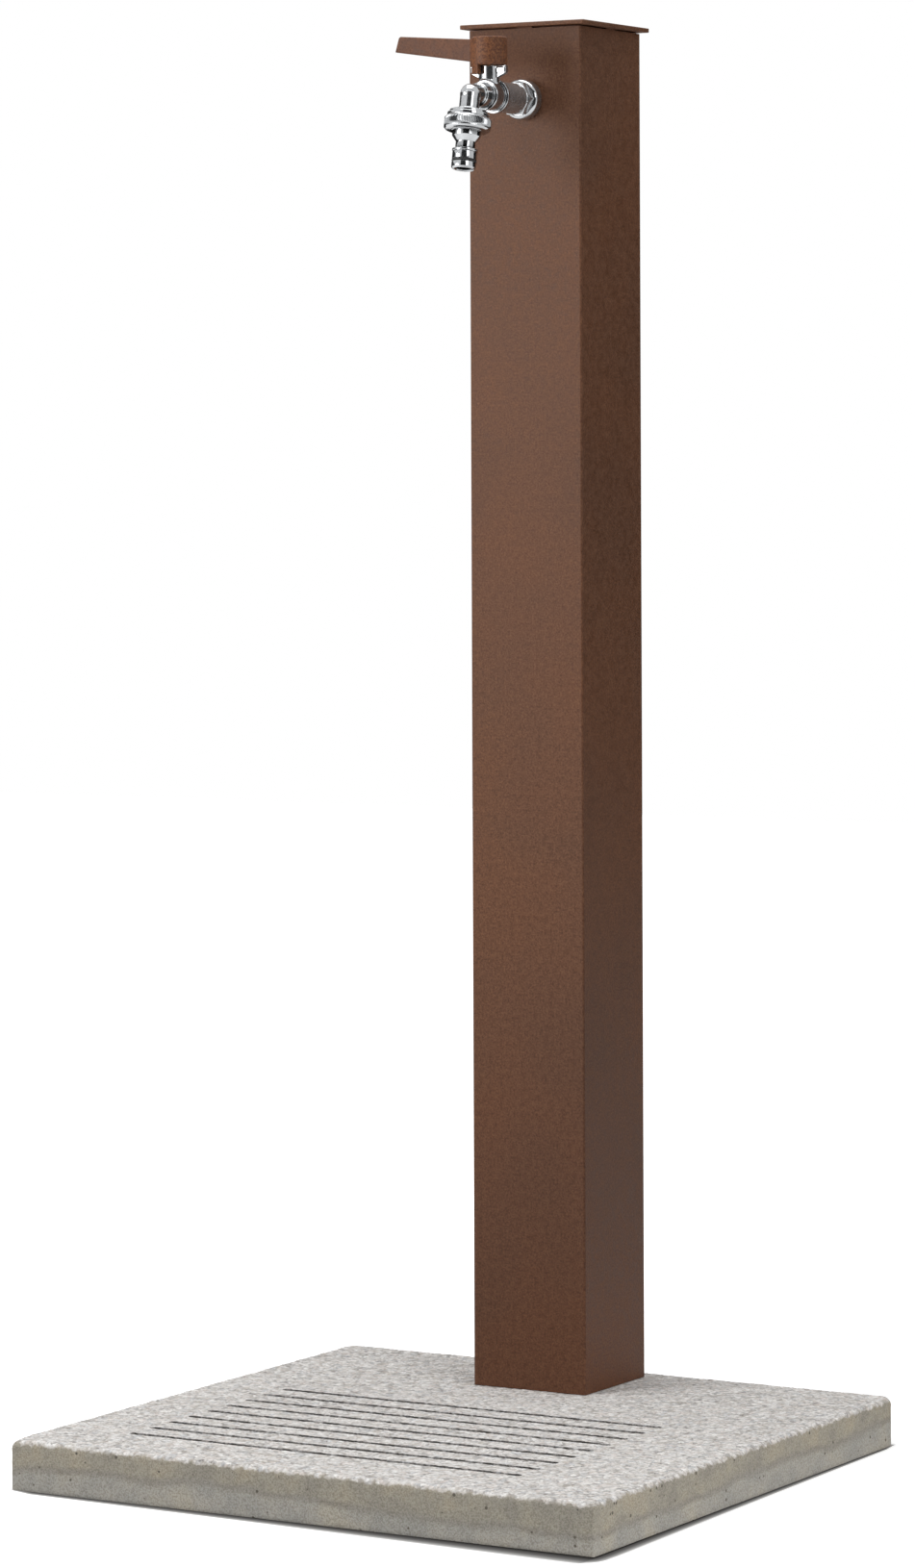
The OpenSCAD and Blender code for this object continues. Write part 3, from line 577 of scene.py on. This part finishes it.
def lattice(seed, points, size):
    """Smooth random values from 0 to 1 over a plane, with features that many millimetres wide."""
    cells = 64
    table = np.random.default_rng(seed).random((cells, cells))
    spot = points / size
    cell = np.floor(spot).astype(int)
    share = spot - cell
    u, v = (share * share * (3 - 2 * share)).T
    a, b = (cell % cells).T
    c, d = (a + 1) % cells, (b + 1) % cells
    return ((table[a, b] * (1 - u) + table[c, b] * u) * (1 - v)
            + (table[a, d] * (1 - u) + table[c, d] * u) * v)


def bands(rings, inwards=False):
    """Quads between each ring of point numbers and the next, all of one length."""
    quads = [quad for low, high in zip(rings, rings[1:])
             for quad in np.stack([low, np.roll(low, -1), np.roll(high, -1), high], axis=1).tolist()]
    return [quad[::-1] for quad in quads] if inwards else quads


def flat_fill(outer, holes, extra):
    """Triangles between an outer loop and its holes. All points come first in the order given."""
    loops = [outer] + holes
    points = np.concatenate(loops + [extra])
    edges, owner, start = [], np.full(len(points), -1), 0
    for number, loop in enumerate(loops):
        n = len(loop)
        edges += [(start + i, start + (i + 1) % n) for i in range(n)]
        owner[start:start + n] = number
        start += n
    filled = geometry.delaunay_2d_cdt([Vector(p) for p in points.tolist()], edges, [], 1, 1e-6)
    source = np.array([origin[0] for origin in filled[3]])
    triangles = source[np.array(filled[2])]
    # A triangle with all its corners on one loop may lie in a hole, or outside the outer loop.
    own = owner[triangles]
    keep = np.ones(len(triangles), bool)
    middles = points[triangles].mean(axis=1)
    for number, loop in enumerate(loops):
        mine = np.flatnonzero((own == number).all(axis=1))
        within = polygon_distance(*middles[mine].T, [tuple(p) for p in loop]) < 0
        keep[mine] = within if number == 0 else ~within
    triangles = triangles[keep]
    # Counter-clockwise from above
    p = points[triangles]
    area = np.cross(p[:, 1] - p[:, 0], p[:, 2] - p[:, 0])
    triangles[area < 0] = triangles[area < 0][:, ::-1]
    return triangles


def make_slab():
    """The cast slab: worn arris, chipped slots and gravel. Its shape hangs on the order of the
    random draws. The drain slots are a little wider and longer than the record's openings."""
    rough = np.random.default_rng(11)
    spacing = 1.8
    top = slab_high[2]
    radii, least_top_r = (1.6, 8.5, 5.0, 2.5), 8.0
    slot_half_width, slot_end = 2.5, 4.0
    bolt_from_middle, bolt_hole_r, recess_r, recess_h = 28, 4.35, 11.0, 9.0
    path, outward = rounded_square(slab_low[:2], slab_high[:2], radii, spacing)
    top_radii = [max(r, least_top_r) for r in radii]
    top_path, _ = rounded_square(slab_low[:2], slab_high[:2], top_radii, spacing)
    vertices, faces = [], []

    def put(ring, z):
        """Adds a ring of points and returns their numbers."""
        start = sum(len(v) for v in vertices)
        vertices.append(np.column_stack([ring, np.broadcast_to(z, (len(ring),))]))
        return np.arange(start, start + len(ring))

    # Outer wall: a small bevel below, then up to a ragged arris that is more worn at two corners
    corner_wear = [depth * np.exp(-np.linalg.norm(path - corner[:2], axis=1) / 7)
                   for corner, depth in ((slab_low, 3.0), (slab_high, 2.5))]
    wear = 2.4 + 1.6 * lattice(1, path, 9) + 0.9 * lattice(2, path, 3) + np.maximum(*corner_wear)
    rings = [put(path - 0.7 * outward, 0.0), put(path - 0.12 * outward, 0.7)]
    for z in (3, 7, 11, 15, 19, 23, 26.5):
        dent = 0.25 * lattice(3, path + z * 3, 5) + 0.12 * rough.random(len(path))
        rings.append(put(path - dent[:, None] * outward, z))
    for angle in (0, 22, 45, 68, 90):
        turn = math.radians(angle)
        inset = wear * (1 - math.cos(turn)) + (0.15 + 0.75 * math.sin(turn)) * rough.random(len(path)) ** 2
        drop = wear * (1 - math.sin(turn)) + 0.7 * math.sin(turn) * rough.random(len(path)) ** 2
        share = (angle / 90) ** 2
        here = path * (1 - share) + top_path * share
        rings.append(put(here - inset[:, None] * outward, top - drop))
    faces += bands(rings)
    rim = vertices[-1][:, :2]

    # Drain slots, with broken edges above and clean ones below
    holes_top, holes_bottom = [], []
    boxes = [np.array(o["box_m"]) / MM for o in RECORD["physics"]["openings"]]
    for number, box in enumerate(boxes):
        centre = box[:, :2].mean(axis=0)
        half = np.array([(box[1, 0] - box[0, 0]) / 2 + slot_end, slot_half_width])
        loop, way = rounded_square(centre - half, centre + half, [slot_half_width - 0.01] * 4, spacing * 0.9)
        steps = [put(loop, 0.0)]
        for z, gap, jag in ((16, 0.0, 0.2), (top - 4, 0.1, 0.3), (top - 1.4, 0.2, 0.45), (top, 0.35, 0.9)):
            chip = gap + jag * (lattice(20 + number, loop + z, 4) + 0.4 * rough.random(len(loop)) - 0.75)
            ring = loop + chip[:, None] * way
            steps.append(put(ring, z - (0.1 + 0.25 * rough.random(len(loop)) ** 2 if z == top else 0)))
        faces += bands(steps, inwards=True)
        holes_top.append((steps[-1], ring))
        holes_bottom.append((steps[0], loop))

    # Bolt holes with their recesses below
    foot = (column_low[:2] + column_high[:2]) / 2
    for side in (-1, 1):
        bolt, way = foot + (side * bolt_from_middle, 0), ways(2 * math.pi * np.arange(40) / 40)
        wide, narrow = bolt + recess_r * way, bolt + bolt_hole_r * way
        steps = [put(wide, 0.0), put(wide, recess_h), put(narrow, recess_h), put(narrow, top)]
        faces += bands(steps, inwards=True)
        holes_bottom.append((steps[0], wide))
        holes_top.append((steps[-1], narrow))

    # Top face: gravel, clear of the arris and of the slots' edges
    axes = [np.arange(a.min() + spacing, a.max(), spacing) for a in path.T]
    grid = np.stack(np.meshgrid(*axes, indexing="ij"), axis=-1).reshape(-1, 2)
    grid += (rough.random(grid.shape) - 0.5) * spacing * 0.7
    margin = 6
    low, high = rim.min(axis=0) + margin * 0.8, rim.max(axis=0) - margin * 0.8
    clear = np.all((grid > low) & (grid < high), axis=1)
    for corner in product((0, 1), repeat=2):
        clear &= np.abs(grid - np.where(corner, high, low)).sum(axis=1) > margin
    for _, loop in holes_top:
        low, high = loop.min(axis=0) - spacing * 0.6, loop.max(axis=0) + spacing * 0.6
        clear &= ~np.all((grid > low) & (grid < high), axis=1)
    grid = grid[clear]
    pebble = 0.75 * lattice(5, grid, 3.1) + 0.45 * rough.random(len(grid))
    dish = 0.3 * lattice(6, grid, 40)
    hollow = np.clip(pebble - 0.25, 0, 1.0) * 0.8 + dish * 0.5
    # Between the slots the stones stand level, so that the slots show as clean lines.
    low, high = np.min([b[0, :2] for b in boxes], axis=0), np.max([b[1, :2] for b in boxes], axis=0)
    level = np.all((grid > low - 8) & (grid < high + 8), axis=1)
    inner = put(grid, top - np.where(level, 0.2 + 0.4 * hollow, hollow))
    order = np.concatenate([rings[-1]] + [ids for ids, _ in holes_top] + [inner])
    fill = flat_fill(rim, [loop for _, loop in holes_top], grid)
    faces.extend(order[fill].tolist())

    # Underside
    order = np.concatenate([rings[0]] + [ids for ids, _ in holes_bottom])
    fill = flat_fill(vertices[0][:, :2], [loop for _, loop in holes_bottom], np.zeros((0, 2)))
    faces.extend(order[fill[:, ::-1]].tolist())
    stand_in(finish_mesh("slab_cast", np.concatenate(vertices), faces, sharp=50), "base_slab")


# Wall rosette: a domed disc with a soft rim and a small step at its foot

def make_rosette():
    rim, face = rosette_high[2] - TAP_Z, WALL_Y - rosette_low[1]
    bore, step = 10.45, 0.5
    dome_from, dome_r = face * 2 / 3, 11.0
    dome = [(dome_r + (rim - dome_r) * math.cos(t), dome_from + (face - dome_from) * math.sin(t))
            for t in np.radians(range(0, 96, 6))]
    foot = [(bore, 0.0), (rim - step, 0.0), (rim - step, step), (rim, 0.9)]
    outline = foot + dome + [(bore, face)]
    stand_in(turn_shape("wall_rosette_dome", outline, tap, 160), "wall_rosette")


# Tap tail: hexagon, neck and wall thread

def make_tail():
    across = tail_high[2] - tail_low[2]
    hex_from = WALL_Y - rosette_low[1]
    hex_to, neck_to = hex_from + 6.0, WALL_Y - body_high[1]
    spigot_to, thread_from = WALL_Y - tail_low[1], WALL_Y - tail_high[1]
    neck_r, seam_r, spigot_r, thread_r, way_r, seat_way_r = 10.8, 11.3, 8.55, 10.4, 6.3, 4.5

    def distance(p):
        height, radial = along(p, tap)
        nut = np.maximum(hexagon(p, tap, across, hex_from, hex_to, 0.25),
                         nut_bevel(radial, across, hex_to - height))
        neck = rod(p, tap, neck_r, hex_to - 1, neck_to, 0.3)
        seam = rod(p, tap, seam_r, hex_to, hex_to + 0.7, 0.3)
        spigot = rod(p, tap, spigot_r, neck_to - 1, spigot_to)
        screw = thread(p, tap, thread_r, thread_from, hex_from + 0.5, 0.9)
        solid = union(nut, blend(neck, seam, 0.5), spigot, screw)
        return cut(solid, rod(p, tap, way_r, thread_from - 1, neck_to - 1),
                   rod(p, tap, seat_way_r, neck_to - 2, spigot_to + 1))

    stand_in(carve("tap_tail_turned", distance, tail_low, tail_high, 0.42), "tap_tail", "satin_chrome")


# Tap body: barrel with two rings, nose, elbow, spout with its hose thread, neck and stop ears

def make_body():
    ball_r, chamber_r, seat_out, way_r = 7.2, 8.6, 6.6, 4.5
    rear, barrel_r, rear_ring_r, rear_half = WALL_Y - body_high[1], 10.3, 12.0, 1.5
    front_from, front_ring_r, front_half = STEM_REACH + seat_out - 1.3, 10.75, 1.3
    front_to, nose_reach = front_from + 2 * front_half, 9.0
    pipe_r, shoulder_to, thread_to = 7.0, 17.0, 22.2
    foot_r, shoulder_r, step_r, thread_r = 8.6, 14.6, 13.2, 13.2
    neck_h, neck_r, stem_way_r, seal_way_r = 20.9, 7.1, 4.05, 4.6
    ear_reach, ear_t, ear_h, web_h = 14.0, 4.6, 5.0, 3.2

    def distance(p):
        barrel = rod(p, tap, barrel_r, rear, front_to, 0.3)
        for centre, r, wide in ((rear + rear_half, rear_ring_r, rear_half),
                                (front_from + front_half, front_ring_r, front_half)):
            ring = rod(p, tap, r, centre - wide, centre + wide, 0.55)
            barrel = blend(barrel, ring, 0.5)
        nose = taper(p, tap, 8.8, 8.3, front_to - 1, front_to + nose_reach, 0.8)
        pipe = union(rod(p, tap, pipe_r, front_to, SPOUT_REACH), ball(p, ELBOW, pipe_r))
        down = rod(p, spout, pipe_r, 0, shoulder_to - 1)
        foot = taper(p, spout, foot_r, step_r - 0.6, shoulder_to - 5.8, shoulder_to - 4.4, 0.4)
        step = rod(p, spout, step_r, shoulder_to - 4.5, shoulder_to - 2, 0.45)
        rim = rod(p, spout, shoulder_r, shoulder_to - 2.5, shoulder_to, 0.4)
        down = blend(down, union(blend(foot, step, 0.4), rim), 0.8)
        screw = thread(p, spout, thread_r, shoulder_to - 1, thread_to, 1.1)
        outer = blend(blend(barrel, nose, 0.6), blend(pipe, down, 0.6), 1.2)
        outer = blend(outer, rod(p, stem, neck_r, 0, neck_h, 0.3), 1.6)
        ears = brick(p, STEM_FOOT + UP * (neck_h - ear_h / 2), (ear_reach, ear_t / 2, ear_h / 2), 0.7)
        # A slanted web under each ear
        rel = p - STEM_FOOT
        low = neck_h - ear_h
        slant = (np.abs(rel[:, 0]) - neck_r) * web_h / (ear_reach - neck_r)
        under = (low - web_h - rel[:, 2] + slant) * 0.9
        web = brick(p, STEM_FOOT + UP * (low - 0.5), (ear_reach - 0.6, ear_t / 2, 4.0), 0.7)
        web = np.maximum(under, web)
        outer = union(blend(outer, blend(ears, web, 0.8), 1.2), screw)
        return cut(outer,
                   rod(p, tap, chamber_r, rear - 1, STEM_REACH + seat_out),
                   rod(p, tap, way_r, STEM_REACH, SPOUT_REACH), ball(p, ELBOW, way_r),
                   rod(p, spout, way_r, 0, thread_to + 1),
                   rod(p, stem, stem_way_r, 0, neck_h + 1),
                   rod(p, stem, seal_way_r, ball_r, ball_r + 2.0))

    stand_in(carve("tap_body_cast", distance, body_low, body_high, 0.42), "tap_body")


# Lever: hub, tapered arm with a slanted tip, and the stop lug under the hub

def make_lever():
    hub_line, hub_r, reach = (STEM * (1, 1, 0), UP), STEM[1] - lever_low[1], STEM[0] - lever_low[0]
    low_z = lever_low[2] + 5.9
    hub_top = low_z + 19.8
    low, high = low_z + 0.1, hub_top - 2.6
    root_half, tip_half = 6.0, 4.75
    outline = soften([(root_half, low), (root_half, high), (3.2 - reach, high + 5.7, 2.2),
                      (-reach, low + 11.8, 0.8)], 2.2, 5)
    lug_in, lug_gap = 8.2, 2.6
    square_half, square_h, screw_r, head_r, head_mouth_r, head_h = 2.85, 11.85, 2.1, 4.15, 4.9, 14.45

    def distance(p):
        hub = rod(p, hub_line, hub_r, low_z, hub_top, 1.0)
        x, y, z = p[:, 0] - STEM[0], p[:, 1] - STEM[1], p[:, 2]
        half = root_half + (tip_half - root_half) * np.clip(-x / reach, 0, 1)
        arm = corner_of(polygon_distance(x, z, outline), np.abs(y) - half, 1.3)
        _, radial = along(p, hub_line)
        lug = np.maximum.reduce([radial - hub_r, lug_in - radial, lever_low[2] - z, z - low_z - 1,
                                 x + lug_gap, y + lug_gap])
        solid = union(blend(hub, arm, 1.6), lug)
        square = np.maximum.reduce([np.abs(x) - square_half, np.abs(y) - square_half, z - low_z - square_h])
        return cut(solid, square, rod(p, hub_line, screw_r, low_z, hub_top),
                   rod(p, hub_line, head_r, low_z + head_h, hub_top + 1),
                   taper(p, hub_line, head_r, head_mouth_r, hub_top - 0.6, hub_top + 0.1))

    stand_in(carve("lever_cast", distance, lever_low, lever_high, 0.55), "lever_handle")


# Hose adapter: knurled ring nut, nozzle, grip groove, lip and plug

def make_adapter():
    top, ring_r, ring_end = 17.2, 16.3, 26.4
    nozzle_r, nozzle_end, cone_from = 10.0, 34.6, 30.6
    grip_r, grip_end = 7.0, 39.8
    lip_r, lip_end = 9.0, 41.7
    plug_r, plug_end, groove_r, tip_from, tip_end = 8.6, 47.1, 6.7, 49.3, 54.0
    way_r, thread_r, floor = 5.7, 13.25, 24.4
    outline = soften([
        (thread_r, top), (15.1, top), (ring_r, top + 1.2, 0.2), (ring_r, ring_end - 1.2, 0.2),
        (15.2, ring_end), (11.2, ring_end), (10.9, ring_end + 0.5), (nozzle_r, ring_end + 0.7),
        (nozzle_r, cone_from, 0.7), (grip_r, nozzle_end, 0.7), (grip_r, grip_end),
        (lip_r - 0.3, grip_end), (lip_r, grip_end + 0.4), (lip_r, lip_end - 0.5), (plug_r - 0.3, lip_end),
        (plug_r, lip_end + 0.5, 0.2), (plug_r, plug_end, 0.15), (groove_r, plug_end),
        (groove_r, tip_from), (plug_r, tip_from, 0.15), (plug_r, tip_end - 1.0, 0.6),
        (plug_r - 1.0, tip_end, 0.6), (way_r + 0.9, tip_end), (way_r, tip_end - 0.9), (way_r, floor),
        (thread_r, floor)], 0.35, 3)
    # Extra rows in the knurled band, so that the ribs run out at both ends
    ribs, depth, run_out = 90, 0.4, 0.4
    knurl_from, knurl_to = top + 1.3, ring_end - 2.4
    rows = [(ring_r, knurl_from - 0.05 + i * (knurl_to - knurl_from + 0.1) / 8) for i in range(9)]
    spot = max(i for i, (r, h) in enumerate(outline) if r > ring_r - 0.02 and h < top + 3)
    outline = outline[:spot + 1] + rows + outline[spot + 1:]

    def knurl(r, height, angle):
        in_band = (np.clip((height - knurl_from) / run_out, 0, 1)
                   * np.clip((knurl_to - height) / run_out, 0, 1))
        on_rim = r > ring_r - 0.05
        return r - depth * in_band * on_rim * (0.5 - 0.5 * np.cos(angle * ribs))

    piece = turn_shape("hose_adapter_turned", outline, spout, ribs * 6, knurl)
    stand_in(piece, "hose_adapter", "handled_chrome")


# Cap plate: thin steel plate with eased edges, and its four nibs

def make_cap():
    plate_t, corner_r, ease, nib, wall = 3.0, 1.5, 0.45, 6.0, 2.0
    low_z, high_z = cap_high[2] - plate_t, cap_high[2]
    rows = []
    for turn in np.radians((-90, -60, -30, 0, 0, 30, 60, 90)):
        inset = ease * (1 - math.cos(turn))
        middle = low_z + ease if len(rows) < 4 else high_z - ease
        path, _ = rounded_square(cap_low[:2] + inset, cap_high[:2] - inset, [corner_r - inset] * 4, 200)
        z = middle + ease * math.sin(turn)
        rows.append(np.column_stack([path, np.full(len(path), z)]))
    rings = np.arange(len(rows) * len(rows[0])).reshape(len(rows), -1)
    faces = bands(rings) + [rings[0][::-1].tolist(), rings[-1].tolist()]
    piece = finish_mesh("cap_plate_eased", np.concatenate(rows), faces, sharp=40)

    # The nibs stand on the tube's edge
    work = bmesh.new()
    work.from_mesh(piece.data)
    reach = (column_high[0] - column_low[0] - wall) / 2
    foot, nib_h = column_high[2], low_z + 0.2 - column_high[2]
    for side in ((1, 0), (-1, 0), (0, 1), (0, -1)):
        x, y = (cap_low[:2] + cap_high[:2]) / 2 + reach * np.array(side)
        wide, deep = (wall, 2 * nib) if side[0] else (2 * nib, wall)
        for vertex in bmesh.ops.create_cube(work, size=1.0)["verts"]:
            u, v, w = vertex.co
            vertex.co = ((x + u * wide) * MM, (y + v * deep) * MM, (foot + (w + 0.5) * nib_h) * MM)
    work.to_mesh(piece.data)
    work.free()
    stand_in(piece, "cap_plate")


# Inlet at the back: threaded fitting and chamfered lock nut

def make_inlet():
    middle = (lock_nut_low + lock_nut_high) / 2
    line = (np.array([middle[0], column_high[1], middle[2]]), -OUT)
    _, nut_t, across = lock_nut_high - lock_nut_low
    nut_way_r, nut_mouth_r = 10.25, 11.2

    def nut(p):
        height, radial = along(p, line)
        bevels = [nut_bevel(radial, across, depth) for depth in (height + 0.3, nut_t - height + 0.3)]
        solid = np.maximum.reduce([hexagon(p, line, across, 0, nut_t, 0.2)] + bevels)
        return cut(solid, rod(p, line, nut_way_r, -1, nut_t + 1),
                   taper(p, line, nut_way_r - 0.05, nut_mouth_r, nut_t - 0.8, nut_t + 0.1))

    stand_in(carve("inlet_lock_nut_bevelled", nut, lock_nut_low, lock_nut_high, 0.5), "inlet_lock_nut")

    corner = np.array([TAP_X, (column_low[1] + column_high[1]) / 2, middle[2]])
    back, up = (corner, -OUT), (corner, UP)
    wall_in = column_high[1] - 2.0 - corner[1]
    _, end, port_top = inlet_high - corner
    arm_r, port_r, flange_r, waist_r, thread_r, thread_h = 13.0, 10.5, 14.0, 10.2, 10.48, 11.0
    way_r, mouth_r, pipe_way_r, olive_way_r = 6.5, 7.4, 7.55, 8.95

    def fitting(p):
        arm = union(ball(p, corner, arm_r), rod(p, back, arm_r, 0, wall_in - 4.0))
        port = rod(p, up, port_r, 0, port_top, 0.4)
        flange = rod(p, back, flange_r, wall_in - 4.0, wall_in - 1.0, 0.4)
        waist = rod(p, back, waist_r, wall_in - 2.0, end - thread_h + 0.1)
        screw = thread(p, back, thread_r, end - thread_h, end, 1.0)
        solid = union(blend(arm, port, 1.0), flange, waist, screw)
        return cut(solid, rod(p, back, way_r, 0, end + 1), ball(p, corner, way_r),
                   taper(p, back, way_r, mouth_r, end - 0.8, end + 0.1),
                   rod(p, up, way_r, 0, port_top + 1),
                   rod(p, up, pipe_way_r, port_top - 12, port_top + 1),
                   rod(p, up, olive_way_r, port_top - 3, port_top + 1))

    stand_in(carve("inlet_elbow_threaded", fitting, inlet_low, inlet_high, 0.5), "inlet_elbow")


make_slab()
make_rosette()
make_tail()
make_body()
make_lever()
make_adapter()
make_cap()
make_inlet()

# The CAD nodes that stay keep their shape and get their finish.
for name, node in frame["nodes"].items():
    for slot in node.material_slots:
        slot.material = FINISHES[SLOT_OF[name]]


# Camera: at the photograph's place, level, with the frame shifted down

def make_camera():
    turn, tilt, roll = (Matrix.Rotation(math.radians(angle), 4, axis)
                        for angle, axis in ((30.962, "Z"), (90, "X"), (-0.211, "Z")))
    lens = bpy.data.cameras.new("camera")
    lens.lens, lens.clip_end = 122.49, 50
    lens.shift_x, lens.shift_y = 0.0730, -0.2069
    camera = in_scene("camera", lens)
    camera.location = (1.8167, -3.1821, 0.6918)
    camera.rotation_euler = (turn @ tilt @ roll).to_euler()
    bpy.context.scene.camera = camera


# Stage: white floor with the object's shadows, real and painted, white surroundings, and lamps

# What the floor near the object and the surroundings give off as light, where 1 is white
FLOOR_GLOW = 0.4
AMBIENT = 0.28


def stage_piece(name, corners, faces, finish):
    """A plain piece of the stage from corners in metres."""
    mesh = bpy.data.meshes.new(name)
    mesh.from_pydata(corners, [], faces)
    mesh.materials.append(finish)
    thing = in_scene(name, mesh)
    return thing


def seen_directly(add):
    """1 for rays from the camera, from a mirror and through glass, and 0 for other light."""
    seen = add("LightPath", out="Is Camera Ray")
    for kind in ("Is Glossy Ray", "Is Transmission Ray"):
        seen = add("Math", seen, add("LightPath", out=kind), operation="MAXIMUM")
    return seen


def white_floor(add, place):
    """A pale floor that renders white to the camera, keeps the lamps' shadows and has a painted shadow
    under the slab. The painted shadow in the gap under the slab's edge is widest at the near
    corner, narrower along the right side, and gone before the far corners."""
    shadow_reach, near_width, far_width, right_narrowing = 0.42, 25 * MM, 12 * MM, 1.7
    away = add("VectorMath", place, operation="LENGTH")
    level = add("MapRange", away, 0.35, 1.1, FLOOR_GLOW, 1.0)
    spot = add("VectorMath", place, operation="ABSOLUTE")
    half_slab = tuple(slab_high[:2] * MM) + (1.0,)
    gap = add("VectorMath", spot, half_slab, operation="SUBTRACT")
    gap = add("VectorMath", gap, (0, 0, 0), operation="MAXIMUM")
    gap = add("VectorMath", gap, (right_narrowing, 1.0, 1.0), operation="MULTIPLY")
    right = add("MapRange", add("SeparateXYZ", gap), 0.0, 4 * MM, 0.0, 0.15)
    gap = add("VectorMath", gap, operation="LENGTH")
    near_corner = (slab_high[0] * MM, slab_low[1] * MM, 0.0)
    far = add("VectorMath", place, near_corner, operation="DISTANCE")
    wide = add("MapRange", far, 0.0, shadow_reach, near_width, far_width)
    fade = add("MapRange", far, 0.0, shadow_reach, 0.0, 0.3)
    end = add("MapRange", far, shadow_reach + 0.005, shadow_reach + 0.04)
    clear = add("Math", gap, wide, operation="DIVIDE")
    for more in (fade, right, end):
        clear = add("Math", clear, more, operation="ADD")
    # Painted shadow: the floor darkens close to the slab's edges
    shadow = add("ValToRGB", clear, stops=[
        (0.0, "#1a1918"), (0.2, "#3c3b3a"), (0.5, "#626160"), (0.75, "#969594"), (1.0, "#ffffff")])
    glow = add("Emission", shadow, add("Math", seen_directly(add), level, operation="MULTIPLY"))
    tone = add("Mix", add("LightPath", out="Is Camera Ray"), "#d4d4d4", shadow, **COLOURS)
    return add("AddShader", add("BsdfDiffuse", tone), glow)


def make_floor():
    half = 6.0
    corners = [(-half, -half, 0), (half, -half, 0), (half, half, 0), (-half, half, 0)]
    stage_piece("floor", corners, [(0, 1, 2, 3)], new_finish("white_studio_floor", white_floor))


def make_surroundings():
    """White behind the object and in the chrome, and a plain soft light for the rest."""
    world = bpy.data.worlds.new("studio")
    bpy.context.scene.world = world
    add = clear_nodes(world)
    strength = add("MapRange", seen_directly(add), 0.0, 1.0, AMBIENT, 1.0)
    add("OutputWorld", add("Background", "#ffffff", strength))


def lamp(name, place, target, size, power, spread=180):
    """A soft lamp that faces a point, with its beam as wide as spread in degrees."""
    light = bpy.data.lights.new(name, "AREA")
    light.shape = "RECTANGLE"
    light.size, light.size_y = size
    light.energy, light.spread = power, math.radians(spread)
    thing = in_scene(name, light)
    thing.location = place
    thing.rotation_euler = (Vector(target) - Vector(place)).to_track_quat("-Z", "Y").to_euler()
    thing.visible_camera = False


def glowing_or_black(add, _, glow):
    return add("Emission", "#ffffff", glow) if glow else add("BsdfDiffuse", "#080808")


def board(name, azimuths, heights, glow=0.0):
    """A board bent round the tap between two azimuths in degrees from +X, that only shiny surfaces
    see. A black one gives the dark streaks in the chrome, and one with a glow the bright ones."""
    distance, count = 2.2, 12
    corners, faces = [], []
    for i in range(count + 1):
        turn = math.radians(azimuths[0] + (azimuths[1] - azimuths[0]) * i / count)
        x, y = ELBOW[0] * MM + distance * math.cos(turn), ELBOW[1] * MM + distance * math.sin(turn)
        corners += [(x, y, heights[0]), (x, y, heights[1])]
        if i:
            faces.append((2 * i - 2, 2 * i, 2 * i + 1, 2 * i - 1))
    thing = stage_piece(name, corners, faces, new_finish(name, glowing_or_black, glow))
    for kind in ("camera", "diffuse", "shadow", "transmission", "volume_scatter"):
        setattr(thing, "visible_" + kind, False)


bpy.context.scene.view_settings.view_transform = "Standard"
make_camera()
make_floor()
make_surroundings()
lamp("key", (-0.75, -1.05, 0.98), (0, 0.05, 0.7), (0.7, 0.7), 10.4)
lamp("top", (-0.08, -0.02, 2.6), (0, 0, 0), (1.6, 1.6), 30.4)
lamp("side", (1.15, -0.6, 1.4), (0, 0, 0.92), (0.5, 0.5), 2.8)
lamp("fill", (1.1, -0.2, 0.15), (0.22, 0, 0.0), (0.6, 0.15), 0.15, 18)
board("board_by_camera", (-92, -22), (0.02, 2.6))
board("board_behind", (32, 201), (0.02, 1.5))
board("board_left", (-158, -94), (0.5, 1.7), 1.05)
board("board_left_foot", (-158, -94), (0.02, 0.45))
board("board_right", (-17, 24), (0.5, 1.7), 0.9)
